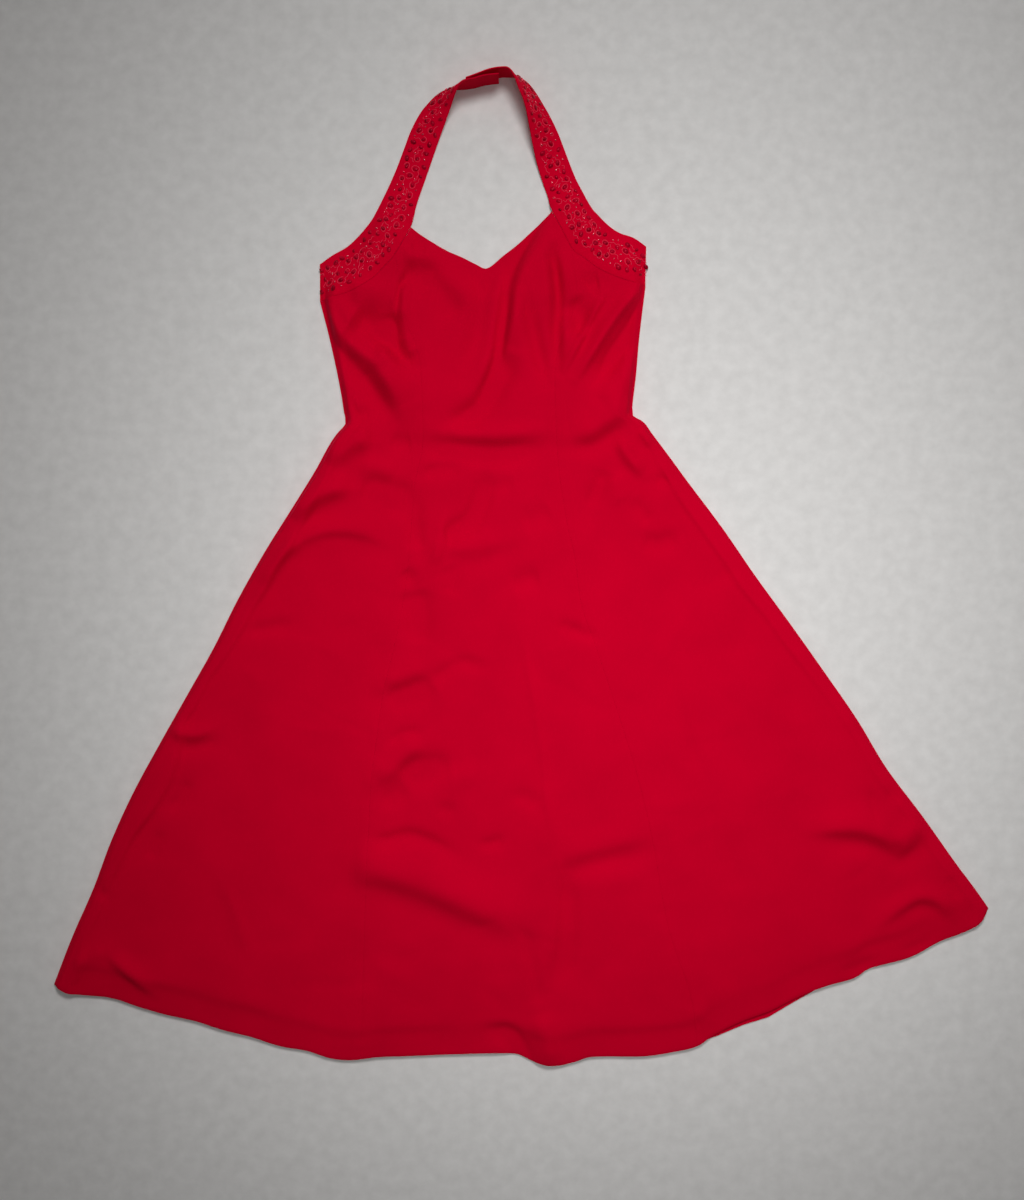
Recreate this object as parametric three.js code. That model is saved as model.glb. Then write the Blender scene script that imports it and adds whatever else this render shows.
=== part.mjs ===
// Halter dress, laid flat on its back with the front upwards
// Millimetres, +Z up, +Y from the hem towards the neck, the origin under the middle of the dress

import * as THREE from "three";
import { mergeVertices } from "three/addons/utils/BufferGeometryUtils.js";

const { lerp, smoothstep, clamp } = THREE.MathUtils;

// Driving dimensions
const CLOTH = 1.3;
const BAND_CLOTH = 1.6;
const LAYER_GAP = 0.3;
const SEAM_GAP = 0.4;
const HEM_DEPTH = 31;
const HEM_EXTRA = 0.8;
const BACK_CLOTH = 1.2;
const LOFT = 5;
const SIDE_FALL = 55;
const TOP_FALL = 45;
const HEM_FALL = 60;
const FLOOR_OF_FRONT = BACK_CLOTH + LAYER_GAP;

// How finely the cloth is divided
const SIDE_COLUMNS = 12;
const CORNER_COLUMNS = 2;
const NECK_COLUMNS_LEFT = 6;
const NECK_COLUMNS_RIGHT = 5;
const BODICE_ROWS = 18;
const SKIRT_ROWS = 36;
const HEM_LEVELS = [2.14, 2.6, 3];
const BACK_COLUMNS = 8;
const BACK_LEVELS = [0, 0.3, 0.6, 0.85, 1, 1.06, 1.2, 1.4, 1.6, 1.8, 2, 3];
const BAND_COLUMNS = 4;
const STRAP_STEPS_PER_ROW = 2;
const BACK_BAND_COLUMNS = 8;
const BACK_BAND_ROWS = 2;

// Side edges of the front, a row per height: y, x
const SIDE_LEFT = [
  [-517, -583.8], [-457, -560.6], [-397, -534.4], [-337, -511.9], [-277, -484.4],
  [-217, -451.9], [-157, -418.1], [-97, -384.4], [-37, -354.4], [23, -320.6],
  [83, -283.1], [125.5, -256.9], [155.5, -240.6], [170.5, -230.6], [183, -220],
  [200.5, -221.9], [245.5, -229.4], [290.5, -238.1], [336.8, -248.1],
];
const SIDE_RIGHT = [
  [-422, 583.1], [-397, 565.6], [-367, 543.1], [-307, 500.6], [-247, 455.6],
  [-187, 419.4], [-127, 378.1], [-67, 335.6], [-7, 291.9], [53, 250.6],
  [113, 205.6], [140.5, 185.6], [170.5, 163.1], [185.5, 151.9], [193, 139.4],
  [200.5, 138.1], [245.5, 143.1], [290.5, 146.9], [355.5, 154.4],
];

// Seams down the front, a row per height: y, x
const PRINCESS_LEFT = [
  [-609.5, -200.6], [-570.8, -199.4], [-412, -194.4], [-330.8, -190.6], [-259.5, -186.9],
  [-203.3, -179.4], [-150.8, -171.9], [-99.5, -159.4], [-37, -146.9], [13, -140.6],
  [106.7, -133.1], [150.5, -123.8], [213, -123.1], [250.5, -125.6], [281.8, -131.9],
  [306.8, -143.1], [331.8, -148.8], [363, -151.9], [393, -156.9],
];
const PRINCESS_RIGHT = [
  [-593.2, 219.4], [-530.8, 210.6], [-445.8, 183.1], [-330.8, 161.9], [-262, 145.6],
  [-187, 123.1], [-112, 98.1], [-42, 74.4], [13, 66.9], [56.7, 56.9],
  [113, 48.1], [150.5, 44.4], [213, 41.9], [250.5, 41.9], [281.8, 46.9],
  [310.5, 60.6], [338, 68.1], [363, 66.9], [400.5, 61.9],
];

// Seam down the middle of the back, a row per height: y, x
const BACK_SEAM = [
  [-610, 34.4], [-487, 39.4], [-349.5, 43.1], [-242, 29.4], [-102, 1.9],
  [25.5, -20.6], [181.7, -36.9], [309.3, -42.6], [360, -43.6],
];

// Lower edge of the front, a row per place along it: x, y
const FRONT_HEM = [
  [-583.8, -517], [-564.4, -527], [-511.9, -533.2], [-476.9, -544.5], [-441.9, -554.5],
  [-406.9, -562], [-371.9, -573.2], [-336.9, -582], [-301.9, -593.2], [-266.9, -599.5],
  [-239.4, -608.2], [-214.4, -610.8], [-179.4, -607], [-144.4, -605.8], [-74.4, -603.2],
  [-8.1, -603.2], [13.1, -612], [30.6, -617], [48.1, -617], [65.6, -613.2],
  [85.6, -607], [153.1, -605.8], [188.1, -600.8], [219.4, -593.2], [240.6, -579],
  [275.6, -562], [310.6, -549], [345.6, -531.5], [380.6, -518], [415.6, -508.2],
  [433.1, -497], [485.6, -482], [520.6, -463.2], [555.6, -449.5], [573.1, -438.2],
  [583.1, -422],
];

// Lower edge of the back, which shows only where it hangs below the front on the right: x, y
const BACK_HEM = [
  [-583.8, -515], [-511.9, -530], [-406.9, -559], [-301.9, -590], [-214.4, -607],
  [-74.4, -600], [34.4, -601], [153.1, -603], [219.4, -591], [240.6, -583],
  [275.6, -568.2], [310.6, -557], [345.6, -535.8], [380.6, -517], [433.1, -494],
  [520.6, -461], [583.1, -420],
];

// Neck edge of the middle panel, between the corners where the two bands meet it: x, y
const NECK_LINE = [
  [-138.1, 428], [-126.9, 419.2], [-109.4, 408], [-91.9, 398], [-74.4, 390.5],
  [-56.9, 381.8], [-43.1, 376.8], [-21.9, 393], [-4.4, 406.8], [13.1, 423],
  [30.6, 439.2], [38.1, 446.8],
];
const NECK_POINT_X = -43.1;

// Upper outline of the whole front, used to lay its cloth down towards that edge: x, y
const UPPER_OUTLINE = [
  [-251.9, 381.8], [-218.1, 403], [-193.1, 428.6], [-174.4, 460.5], [-156, 462],
  [-138.1, 430], [-109.4, 408], [-43.1, 376.8], [-4.4, 406.8], [38.1, 448],
  [60, 475], [75.6, 473], [95.6, 443], [121.9, 421.1], [155.6, 404.2],
];

// Bands, a row per section: outer edge x, y and inner edge x, y, height of the inner edge
// They lie flat up the armhole and turn to stand on the outer edge behind the neck
const BAND_LEFT = [
  { outer: [-251.9, 381.8], inner: [-248.1, 336.8], lift: 0 },
  { outer: [-235.6, 393], inner: [-226.9, 341.1], lift: 0 },
  { outer: [-218.1, 403], inner: [-205.6, 349.2], lift: 0 },
  { outer: [-204.4, 415.5], inner: [-185.6, 361.8], lift: 0 },
  { outer: [-193.1, 428.6], inner: [-170, 377.4], lift: 0 },
  { outer: [-185, 439.9], inner: [-156.9, 393], lift: 0 },
  { outer: [-174.4, 460.5], inner: [-138.1, 428], lift: 0 },
  { outer: [-166.2, 478], inner: [-130, 458], lift: 0 },
  { outer: [-155.6, 503], inner: [-118.8, 490.5], lift: 0.3 },
  { outer: [-146.2, 528], inner: [-109.3, 517.7], lift: 1.5 },
  { outer: [-138.1, 549.2], inner: [-99.2, 545.5], lift: 4 },
  { outer: [-126.9, 569.9], inner: [-89.5, 568.9], lift: 12 },
  { outer: [-116.9, 582.4], inner: [-85.5, 577.7], lift: 19 },
  { outer: [-106.9, 592.4], inner: [-82.3, 584.2], lift: 27 },
  { outer: [-98.1, 598], inner: [-79.4, 589.8], lift: 32 },
  { outer: [-89.4, 600.5], inner: [-75.6, 595.5], lift: 35 },
  { outer: [-80.6, 600.5], inner: [-71.3, 599], lift: 37 },
  { outer: [-70.6, 600.8], inner: [-65.7, 600.6], lift: 38 },
  { outer: [-59.9, 602.4], inner: [-58.4, 601.8], lift: 38 },
  { outer: [-45.6, 606], inner: [-44.9, 605.7], lift: 37.5 },
  { outer: [-28.1, 608.4], inner: [-27.8, 607.6], lift: 37 },
];
const BAND_RIGHT = [
  { outer: [155.6, 404.2], inner: [154.4, 355.5], lift: 0 },
  { outer: [139.4, 414.9], inner: [135.6, 358.6], lift: 0 },
  { outer: [121.9, 421.1], inner: [115.6, 365.5], lift: 0 },
  { outer: [108.1, 430.5], inner: [94.4, 375.5], lift: 0 },
  { outer: [95.6, 443], inner: [76.9, 388.5], lift: 0 },
  { outer: [86.9, 453], inner: [61.9, 400.5], lift: 0 },
  { outer: [75.6, 473], inner: [38.1, 446.8], lift: 0 },
  { outer: [68.1, 488], inner: [32.5, 465.5], lift: 0.3 },
  { outer: [60.6, 506.8], inner: [24.3, 488.7], lift: 2 },
  { outer: [52.5, 528], inner: [17.4, 511.2], lift: 6 },
  { outer: [44.4, 548], inner: [12.3, 532], lift: 15 },
  { outer: [34.4, 568], inner: [7.8, 553.4], lift: 25 },
  { outer: [25.6, 583], inner: [4.7, 567.7], lift: 30 },
  { outer: [17.5, 596.1], inner: [1, 579.3], lift: 34 },
  { outer: [8.1, 608], inner: [-3.9, 590], lift: 36.5 },
  { outer: [-1.9, 614.2], inner: [-8.8, 602.9], lift: 38 },
  { outer: [-14.4, 616], inner: [-16.2, 614], lift: 38 },
  { outer: [-26.9, 615.5], inner: [-26.6, 615], lift: 38 },
  { outer: [-39.4, 613], inner: [-40, 612.6], lift: 38 },
  { outer: [-51.9, 609.2], inner: [-51, 608.8], lift: 37.5 },
  { outer: [-61.9, 605.9], inner: [-60.8, 605.3], lift: 37 },
  { outer: [-69.4, 603.4], inner: [-68.2, 602.9], lift: 36.5 },
];
const PRINCESS_SECTION = 5;
const NECK_SECTION = 6;
const FREE_SECTION = 8;
const BAND_CROWN = 0.8;

// Bands of the back, a row per place along them: x, upper edge y, lower edge y
const BACK_BAND_LEFT = [
  [-251.9, 381.3, 337], [-218.1, 375.5, 330.5], [-151.9, 363, 318], [-43.2, 354.3, 309.3],
];
const BACK_BAND_RIGHT = [
  [-43.2, 354.3, 309.3], [48.1, 366.8, 321.8], [123.1, 390.5, 345.5], [155, 403.6, 355.5],
];

// Largest folds of the front: start, middle and end of each, half its width and its rise
const FOLDS = [
  { name: "slant below the left band", start: [-233, 296], middle: [-188, 245], end: [-155, 193], half: 11, rise: -4.5 },
  { name: "left bust, outer", start: [-162, 318], middle: [-157, 283], end: [-136, 257], half: 9, rise: -3.5 },
  { name: "left bust, inner", start: [-149, 307], middle: [-143, 349], end: [-124, 380], half: 9, rise: -3 },
  { name: "left bust, crown", start: [-121, 381], middle: [-102, 362], end: [-82, 325], half: 9, rise: -2.5 },
  { name: "under the neck point", start: [-50, 364], middle: [-46, 341], end: [-43, 318], half: 11, rise: -3 },
  { name: "right of the middle, upper", start: [18, 418], middle: [-12, 359], end: [-23, 300], half: 10, rise: -4 },
  { name: "right of the middle, lower", start: [-23, 300], middle: [-33, 240], end: [-86, 195], half: 11, rise: -4 },
  { name: "beside the right seam", start: [36, 388], middle: [44, 330], end: [42, 242], half: 10, rise: -4.5 },
  { name: "right bodice roll", start: [126, 330], middle: [93, 296], end: [79, 264], half: 17, rise: 4.5 },
  { name: "right bodice hollow", start: [148, 337], middle: [122, 314], end: [98, 268], half: 9, rise: -4 },
  { name: "waist roll", start: [-112, 180], middle: [-40, 172], end: [32, 179], half: 12, rise: 3.5 },
  { name: "waist hollow", start: [-112, 158], middle: [-43, 150], end: [32, 161], half: 12, rise: -4.5 },
  { name: "right waist hollow", start: [139, 193], middle: [110, 172], end: [66, 156], half: 10, rise: -4.5 },
  { name: "left hip hollow", start: [-270, 58], middle: [-238, 83], end: [-200, 91], half: 12, rise: -4.5 },
  { name: "left hip roll", start: [-254, 53], middle: [-220, 66], end: [-164, 77], half: 13, rise: 3 },
  { name: "left hip arc", start: [-270, 25], middle: [-226, 52], end: [-180, 28], half: 12, rise: -2.5 },
  { name: "right hip", start: [119, 147], middle: [130, 130], end: [140, 113], half: 10, rise: -3 },
  { name: "middle of the hips, upper", start: [-47, 109], middle: [-62, 78], end: [-91, 57], half: 13, rise: -3 },
  { name: "middle of the hips, lower", start: [-91, 21], middle: [-50, 20], end: [9, 33], half: 13, rise: -3 },
  { name: "below the hips", start: [-11, -13], middle: [43, -2], end: [93, -3], half: 15, rise: -3 },
  { name: "upper skirt, left", start: [-166, -151], middle: [-110, -138], end: [-42, -111], half: 15, rise: -3 },
  { name: "middle skirt, left", start: [-154, -267], middle: [-130, -236], end: [-89, -227], half: 15, rise: -4.5 },
  { name: "middle skirt, low left", start: [-178, -331], middle: [-115, -325], end: [-42, -340], half: 15, rise: -3 },
  { name: "great roll", start: [-184, -358], middle: [-92, -388], end: [12, -428], half: 20, rise: 8 },
  { name: "hollow below the great roll", start: [-184, -394], middle: [-82, -432], end: [0, -460], half: 19, rise: -4 },
  { name: "roll right of the middle", start: [62, -345], middle: [113, -330], end: [158, -320], half: 18, rise: 5.5 },
  { name: "hollow right of the middle", start: [58, -380], middle: [64, -460], end: [42, -520], half: 16, rise: -3.5 },
  { name: "right skirt roll", start: [389, -316], middle: [436, -322], end: [481, -336], half: 19, rise: 7 },
  { name: "right skirt hollow", start: [375, -334], middle: [432, -344], end: [485, -352], half: 15, rise: -3.5 },
  { name: "left edge roll", start: [-432, -199], middle: [-405, -197], end: [-378, -194], half: 13, rise: 4 },
  { name: "left hem hollow", start: [-514, -491], middle: [-494, -506], end: [-474, -520], half: 12, rise: -3.5 },
  { name: "hem roll", start: [24, -548], middle: [32, -585], end: [40, -617], half: 17, rise: 5 },
  { name: "right hem hollow", start: [468, -424], middle: [505, -410], end: [542, -444], half: 12, rise: -3 },
];
const FOLD_STEPS = 8;
const FOLD_TAPER = 0.3;

// A smooth line through rows of [place, value], its places rising
function lineThrough(rows) {
  const slopeBetween = (a, b) => (rows[b][1] - rows[a][1]) / (rows[b][0] - rows[a][0]);
  const last = rows.length - 1;
  return (place) => {
    let i = 1;
    while (i < last && place > rows[i][0]) {
      i += 1;
    }
    const span = rows[i][0] - rows[i - 1][0];
    const t = clamp((place - rows[i - 1][0]) / span, 0, 1);
    const before = slopeBetween(Math.max(i - 2, 0), i) * span;
    const after = slopeBetween(i - 1, Math.min(i + 1, last)) * span;
    const h = t * t * (3 - 2 * t);
    const startPull = t * (1 - t) * (1 - t) * before;
    const endPull = t * t * (t - 1) * after;
    return lerp(rows[i - 1][1], rows[i][1], h) + startPull + endPull;
  };
}

const sideLeft = lineThrough(SIDE_LEFT);
const sideRight = lineThrough(SIDE_RIGHT);
const princessLeft = lineThrough(PRINCESS_LEFT);
const princessRight = lineThrough(PRINCESS_RIGHT);
const backSeam = lineThrough(BACK_SEAM);
const frontHem = lineThrough(FRONT_HEM);
const backHem = lineThrough(BACK_HEM);
const neckLine = lineThrough(NECK_LINE);
const upperOutline = lineThrough(UPPER_OUTLINE);

// The line of a fold as a run of short steps through its start, middle and end
function foldLine(fold) {
  const start = new THREE.Vector2(...fold.start);
  const end = new THREE.Vector2(...fold.end);
  const bend = new THREE.Vector2(...fold.middle).multiplyScalar(2);
  bend.sub(start.clone().add(end).multiplyScalar(0.5));
  const points = new THREE.QuadraticBezierCurve(start, bend, end).getPoints(FOLD_STEPS);
  return { ...fold, points };
}
const foldLines = FOLDS.map(foldLine);

// Rise of one fold at a point: soft across, fading towards both ends
function foldRise(fold, x, y) {
  let best = { away: Infinity, along: 0 };
  for (let i = 0; i < FOLD_STEPS; i += 1) {
    const from = fold.points[i];
    const step = fold.points[i + 1].clone().sub(from);
    const reach = (x - from.x) * step.x + (y - from.y) * step.y;
    const t = clamp(reach / step.lengthSq(), 0, 1);
    const away = Math.hypot(from.x + t * step.x - x, from.y + t * step.y - y);
    if (away < best.away) {
      best = { away, along: (i + t) / FOLD_STEPS };
    }
  }
  const ends = Math.min(best.along, 1 - best.along);
  const fade = smoothstep(ends, -FOLD_TAPER / 2, FOLD_TAPER);
  return fold.rise * fade * Math.exp(-((best.away / fold.half) ** 2));
}

// Height of the front's underside: it rests on the back at its edges and lofts between them
function frontHeight(x, y) {
  const fromSides = Math.min(x - sideLeft(y), sideRight(y) - x);
  const fromTop = upperOutline(x) - y;
  const fromHem = y - frontHem(x);
  const inside = smoothstep(fromSides, 0, SIDE_FALL) * smoothstep(fromTop, 0, TOP_FALL);
  const loft = LOFT * inside * lerp(0.35, 1, smoothstep(fromHem, 0, HEM_FALL));
  const edge = smoothstep(fromSides, 0, SIDE_FALL / 4);
  const folds = foldLines.reduce((sum, fold) => sum + foldRise(fold, x, y), 0);
  const height = loft + folds * edge;
  const soft = 0.5 * (height + Math.hypot(height, 0.4));
  return FLOOR_OF_FRONT + soft * edge;
}

// A closed wall of cloth: a box whose points are all put in place by column, row and side
function wall(name, colour, columns, rows, place) {
  const box = new THREE.BoxGeometry(1, 1, 1, columns, rows, 1);
  const at = box.getAttribute("position");
  for (let i = 0; i < at.count; i += 1) {
    const column = Math.round((at.getX(i) + 0.5) * columns);
    const row = Math.round((0.5 - at.getY(i)) * rows);
    const point = place(column, row, at.getZ(i) > 0);
    at.setXYZ(i, point.x, point.y, point.z);
  }
  box.deleteAttribute("normal");
  box.deleteAttribute("uv");
  const cloth = mergeVertices(box, 1e-4);
  cloth.computeVertexNormals();
  const mesh = new THREE.Mesh(cloth, new THREE.MeshStandardMaterial({ color: colour, roughness: 0.8 }));
  mesh.name = name;
  return mesh;
}

// Levels down a panel: 0 at the band, 1 at the waist, 2 at the top of the hem, 3 at its fold
const levels = [];
for (let row = 0; row < BODICE_ROWS; row += 1) {
  levels.push(row / BODICE_ROWS);
}
for (let row = 0; row <= SKIRT_ROWS; row += 1) {
  levels.push(1 + row / SKIRT_ROWS);
}
levels.push(...HEM_LEVELS);

// An edge running down a panel: its place at a level, from its heights at band, waist and hem
function edgeDown(line, top, waist, hem) {
  return (level) => {
    let y = lerp(top, waist, level);
    if (level > 1) {
      y = lerp(waist, hem + HEM_DEPTH, level - 1);
    }
    if (level > 2) {
      y = hem + HEM_DEPTH * (3 - level);
    }
    return new THREE.Vector2(line(y), y);
  };
}

const downSideLeft = edgeDown(sideLeft, 336.8, 183, -517);
const downPrincessLeft = edgeDown(princessLeft, 393, 163, -609.5);
const downPrincessRight = edgeDown(princessRight, 400.5, 163, -593.2);
const downSideRight = edgeDown(sideRight, 355.5, 193, -422);

// A point of a panel between its two side edges, drawn to its top edge and its hem
function panelPoint(panel, across, level) {
  const point = panel.left(level).lerp(panel.right(level), across);
  const topPull = (1 - Math.min(level, 1)) ** 2;
  const straightTop = panel.left(0).lerp(panel.right(0), across);
  point.add(panel.top(across).sub(straightTop).multiplyScalar(topPull));
  const hemPull = clamp(level - 1, 0, 1) ** 3;
  const straightHem = panel.left(3).lerp(panel.right(3), across);
  point.y += hemPull * (panel.hem(straightHem.x) - straightHem.y);
  point.x += (SEAM_GAP / 2) * (panel.insetLeft * (1 - across) - panel.insetRight * across);
  return point;
}

// A front panel: its underside follows the folds and its upper side is one cloth above
function frontPanel(name, panel) {
  const columns = panel.across.length - 1;
  return wall(name, 0xc00a2c, columns, levels.length - 1, (column, row, upper) => {
    const level = levels[row];
    const point = panelPoint(panel, panel.across[column], level);
    const thick = CLOTH + (level > 2 ? HEM_EXTRA : 0);
    const z = frontHeight(point.x, point.y) + (upper ? thick : 0);
    return new THREE.Vector3(point.x, point.y, z);
  });
}

// Bands as smooth outer and inner edges, by section number
function bandEdges(rows) {
  const outer = rows.map((row) => new THREE.Vector3(...row.outer, 0));
  const inner = rows.map((row) => new THREE.Vector3(...row.inner, row.lift));
  const last = rows.length - 1;
  const smooth = (points) => new THREE.CatmullRomCurve3(points, false, "catmullrom", 0.5);
  const outerLine = smooth(outer);
  const innerLine = smooth(inner);
  return {
    last,
    outerAt: (section) => outerLine.getPoint(clamp(section / last, 0, 1)),
    innerAt: (section) => innerLine.getPoint(clamp(section / last, 0, 1)),
  };
}
const bandLeft = bandEdges(BAND_LEFT);
const bandRight = bandEdges(BAND_RIGHT);

// A run of even steps from one number to another, both included
function steps(from, to, count) {
  return Array.from({ length: count + 1 }, (unused, i) => lerp(from, to, i / count));
}

const sideSections = steps(0, PRINCESS_SECTION, SIDE_COLUMNS);
const cornerSections = steps(PRINCESS_SECTION, NECK_SECTION, CORNER_COLUMNS);

// Places across the middle panel: the corner of each band and the neck point fall on a column
function middleColumns() {
  const places = [];
  const leftEnd = bandLeft.innerAt(PRINCESS_SECTION).x;
  const rightEnd = bandRight.innerAt(PRINCESS_SECTION).x;
  cornerSections.forEach((section) => places.push(bandLeft.innerAt(section).x));
  const leftCorner = bandLeft.innerAt(NECK_SECTION).x;
  const rightCorner = bandRight.innerAt(NECK_SECTION).x;
  places.push(...steps(leftCorner, NECK_POINT_X, NECK_COLUMNS_LEFT).slice(1));
  places.push(...steps(NECK_POINT_X, rightCorner, NECK_COLUMNS_RIGHT).slice(1));
  [...cornerSections].reverse().slice(1).forEach((section) => places.push(bandRight.innerAt(section).x));
  return places.map((x) => (x - leftEnd) / (rightEnd - leftEnd));
}

// Top edge of the middle panel at one of those columns: along a band's seam or the neck edge
const middleAcross = middleColumns();
function middleTop(across) {
  const column = middleAcross.findIndex((place) => Math.abs(place - across) < 1e-9);
  const fromRight = middleAcross.length - 1 - column;
  const flat = (point) => new THREE.Vector2(point.x, point.y);
  if (column <= CORNER_COLUMNS) {
    return flat(bandLeft.innerAt(cornerSections[column]));
  }
  if (fromRight <= CORNER_COLUMNS) {
    return flat(bandRight.innerAt(cornerSections[fromRight]));
  }
  const x = lerp(bandLeft.innerAt(PRINCESS_SECTION).x, bandRight.innerAt(PRINCESS_SECTION).x, across);
  return new THREE.Vector2(x, neckLine(x));
}

// Top edge of a side panel, taken from the same sections as its band
function sideTop(edges, rising) {
  return (across) => {
    const section = PRINCESS_SECTION * (rising ? across : 1 - across);
    const point = edges.innerAt(section);
    return new THREE.Vector2(point.x, point.y);
  };
}

const evenSide = sideSections.map((section) => section / PRINCESS_SECTION);
const sidePanelLeft = {
  left: downSideLeft,
  right: downPrincessLeft,
  top: sideTop(bandLeft, true),
  hem: frontHem,
  across: evenSide,
  insetLeft: 0,
  insetRight: 1,
};
const middlePanel = {
  left: downPrincessLeft,
  right: downPrincessRight,
  top: middleTop,
  hem: frontHem,
  across: middleAcross,
  insetLeft: 1,
  insetRight: 1,
};
const sidePanelRight = {
  left: downPrincessRight,
  right: downSideRight,
  top: sideTop(bandRight, false),
  hem: frontHem,
  across: evenSide,
  insetLeft: 1,
  insetRight: 0,
};

// A band's middle surface: across 0 at its outer edge, 1 at its inner edge
function bandSurface(edges, across, section) {
  const outer = edges.outerAt(section);
  const inner = edges.innerAt(section);
  const kept = across * (1 - SEAM_GAP / outer.distanceTo(inner));
  const point = outer.lerp(inner, kept);
  const onBody = 1 - smoothstep(section, NECK_SECTION, FREE_SECTION);
  const laid = frontHeight(point.x, point.y);
  const crown = BAND_CROWN * Math.sin(Math.PI * across) * (1 - onBody);
  point.z = lerp(point.z + crown, laid, onBody);
  return point;
}

// Which way a band's upper side faces: up on the body, square to the band where it stands
function bandFacing(edges, across, section, outerFirst) {
  const nudge = 0.02;
  const before = Math.max(section - nudge, 0);
  const after = Math.min(section + nudge, edges.last);
  const along = bandSurface(edges, across, after).sub(bandSurface(edges, across, before));
  const width = edges.innerAt(section).sub(edges.outerAt(section));
  const facing = width.cross(along).normalize();
  if (!outerFirst) {
    facing.negate();
  }
  const standing = smoothstep(section, NECK_SECTION, FREE_SECTION);
  return new THREE.Vector3(0, 0, 1).lerp(facing, standing).normalize();
}

// A front band with its free end: the sections on the body are those of the panels below it
function frontBand(name, edges, outerFirst) {
  const free = steps(NECK_SECTION, edges.last, (edges.last - NECK_SECTION) * STRAP_STEPS_PER_ROW);
  const sections = [...sideSections, ...cornerSections.slice(1), ...free.slice(1)];
  const rows = sections.length - 1;
  return wall(name, 0xa80826, BAND_COLUMNS, rows, (column, row, upper) => {
    const section = sections[rows - row];
    const part = column / BAND_COLUMNS;
    const across = outerFirst ? part : 1 - part;
    const point = bandSurface(edges, across, section);
    if (upper) {
      point.addScaledVector(bandFacing(edges, across, section, outerFirst), BAND_CLOTH);
    }
    point.z = Math.max(point.z, 0);
    return point;
  });
}

// A back panel lies flat on the floor under the front
function backPanel(name, panel) {
  return wall(name, 0x980a24, BACK_COLUMNS, BACK_LEVELS.length - 1, (column, row, isTop) => {
    const point = panelPoint(panel, column / BACK_COLUMNS, BACK_LEVELS[row]);
    return new THREE.Vector3(point.x, point.y, isTop ? BACK_CLOTH : 0);
  });
}

// Top edge of a back panel, just below the band that is sewn to it
function backTop(rows) {
  const lowerEdge = lineThrough(rows.map(([x, upper, lower]) => [x, lower]));
  const first = rows[0][0];
  const last = rows[rows.length - 1][0];
  return (across) => {
    const x = lerp(first, last, across);
    return new THREE.Vector2(x, lowerEdge(x) - SEAM_GAP);
  };
}

const downBackLeft = edgeDown(sideLeft, 336.8, 183, -515);
const downBackSeam = edgeDown(backSeam, 309.3, 172, -601);
const downBackRight = edgeDown(sideRight, 355.5, 193, -420);
const backPanelLeft = {
  left: downBackLeft,
  right: downBackSeam,
  top: backTop(BACK_BAND_LEFT),
  hem: backHem,
  insetLeft: 1,
  insetRight: 1,
};
const backPanelRight = {
  left: downBackSeam,
  right: downBackRight,
  top: backTop(BACK_BAND_RIGHT),
  hem: backHem,
  insetLeft: 1,
  insetRight: 1,
};

// A band along the back's top edge, between the side and the seam down the middle
function backBand(name, rows) {
  const upperEdge = lineThrough(rows.map(([x, upper]) => [x, upper]));
  const lowerEdge = lineThrough(rows.map(([x, upper, lower]) => [x, lower]));
  const first = rows[0][0] + SEAM_GAP / 2;
  const last = rows[rows.length - 1][0] - SEAM_GAP / 2;
  return wall(name, 0x900922, BACK_BAND_COLUMNS, BACK_BAND_ROWS, (column, row, isTop) => {
    const x = lerp(first, last, column / BACK_BAND_COLUMNS);
    const y = lerp(upperEdge(x), lowerEdge(x), row / BACK_BAND_ROWS);
    return new THREE.Vector3(x, y, isTop ? BACK_CLOTH : 0);
  });
}

const dress = new THREE.Group();
dress.name = "halter_dress";
dress.add(frontPanel("centre_front", middlePanel));
dress.add(frontPanel("side_front_left", sidePanelLeft));
dress.add(frontPanel("side_front_right", sidePanelRight));
dress.add(frontBand("halter_band_left", bandLeft, true));
dress.add(frontBand("halter_band_right", bandRight, false));
dress.add(backPanel("back_left", backPanelLeft));
dress.add(backPanel("back_right", backPanelRight));
dress.add(backBand("back_band_left", BACK_BAND_LEFT));
dress.add(backBand("back_band_right", BACK_BAND_RIGHT));

export default dress;
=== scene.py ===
"""Halter dress laid flat, front upwards: crepe panels, beaded bands and the light they lie in."""
import math
import random

import bmesh
import bpy
import numpy as np
from mathutils import Matrix, Vector


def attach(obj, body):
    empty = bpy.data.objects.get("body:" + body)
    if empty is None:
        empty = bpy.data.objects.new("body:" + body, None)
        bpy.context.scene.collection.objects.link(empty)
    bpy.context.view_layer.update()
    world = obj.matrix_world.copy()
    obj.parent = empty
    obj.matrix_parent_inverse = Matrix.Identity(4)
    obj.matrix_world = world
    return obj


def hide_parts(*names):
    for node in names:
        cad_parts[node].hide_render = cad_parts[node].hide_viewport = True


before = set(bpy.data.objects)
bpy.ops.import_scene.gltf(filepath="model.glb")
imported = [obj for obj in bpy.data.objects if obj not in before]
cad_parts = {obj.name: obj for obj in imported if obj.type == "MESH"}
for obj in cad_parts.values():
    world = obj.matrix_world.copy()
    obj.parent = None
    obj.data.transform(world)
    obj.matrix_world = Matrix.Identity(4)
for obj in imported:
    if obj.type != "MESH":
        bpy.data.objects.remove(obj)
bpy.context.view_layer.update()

MM = 0.001

# Sizes of the dress in millimetres, as in the part
CLOTH = 1.3
BAND_CLOTH = 1.6
BACK_CLOTH = 1.2
SEAM_GAP = 0.4
HEM_DEPTH = 31
FLOOR_OF_FRONT = 1.5

# The fine cloth: thickness of the front, air under a band, gap at a sewn seam
SHELL = 1.0
BAND_CLEARANCE = 0.2
SEWN_GAP = 0.06

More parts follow.
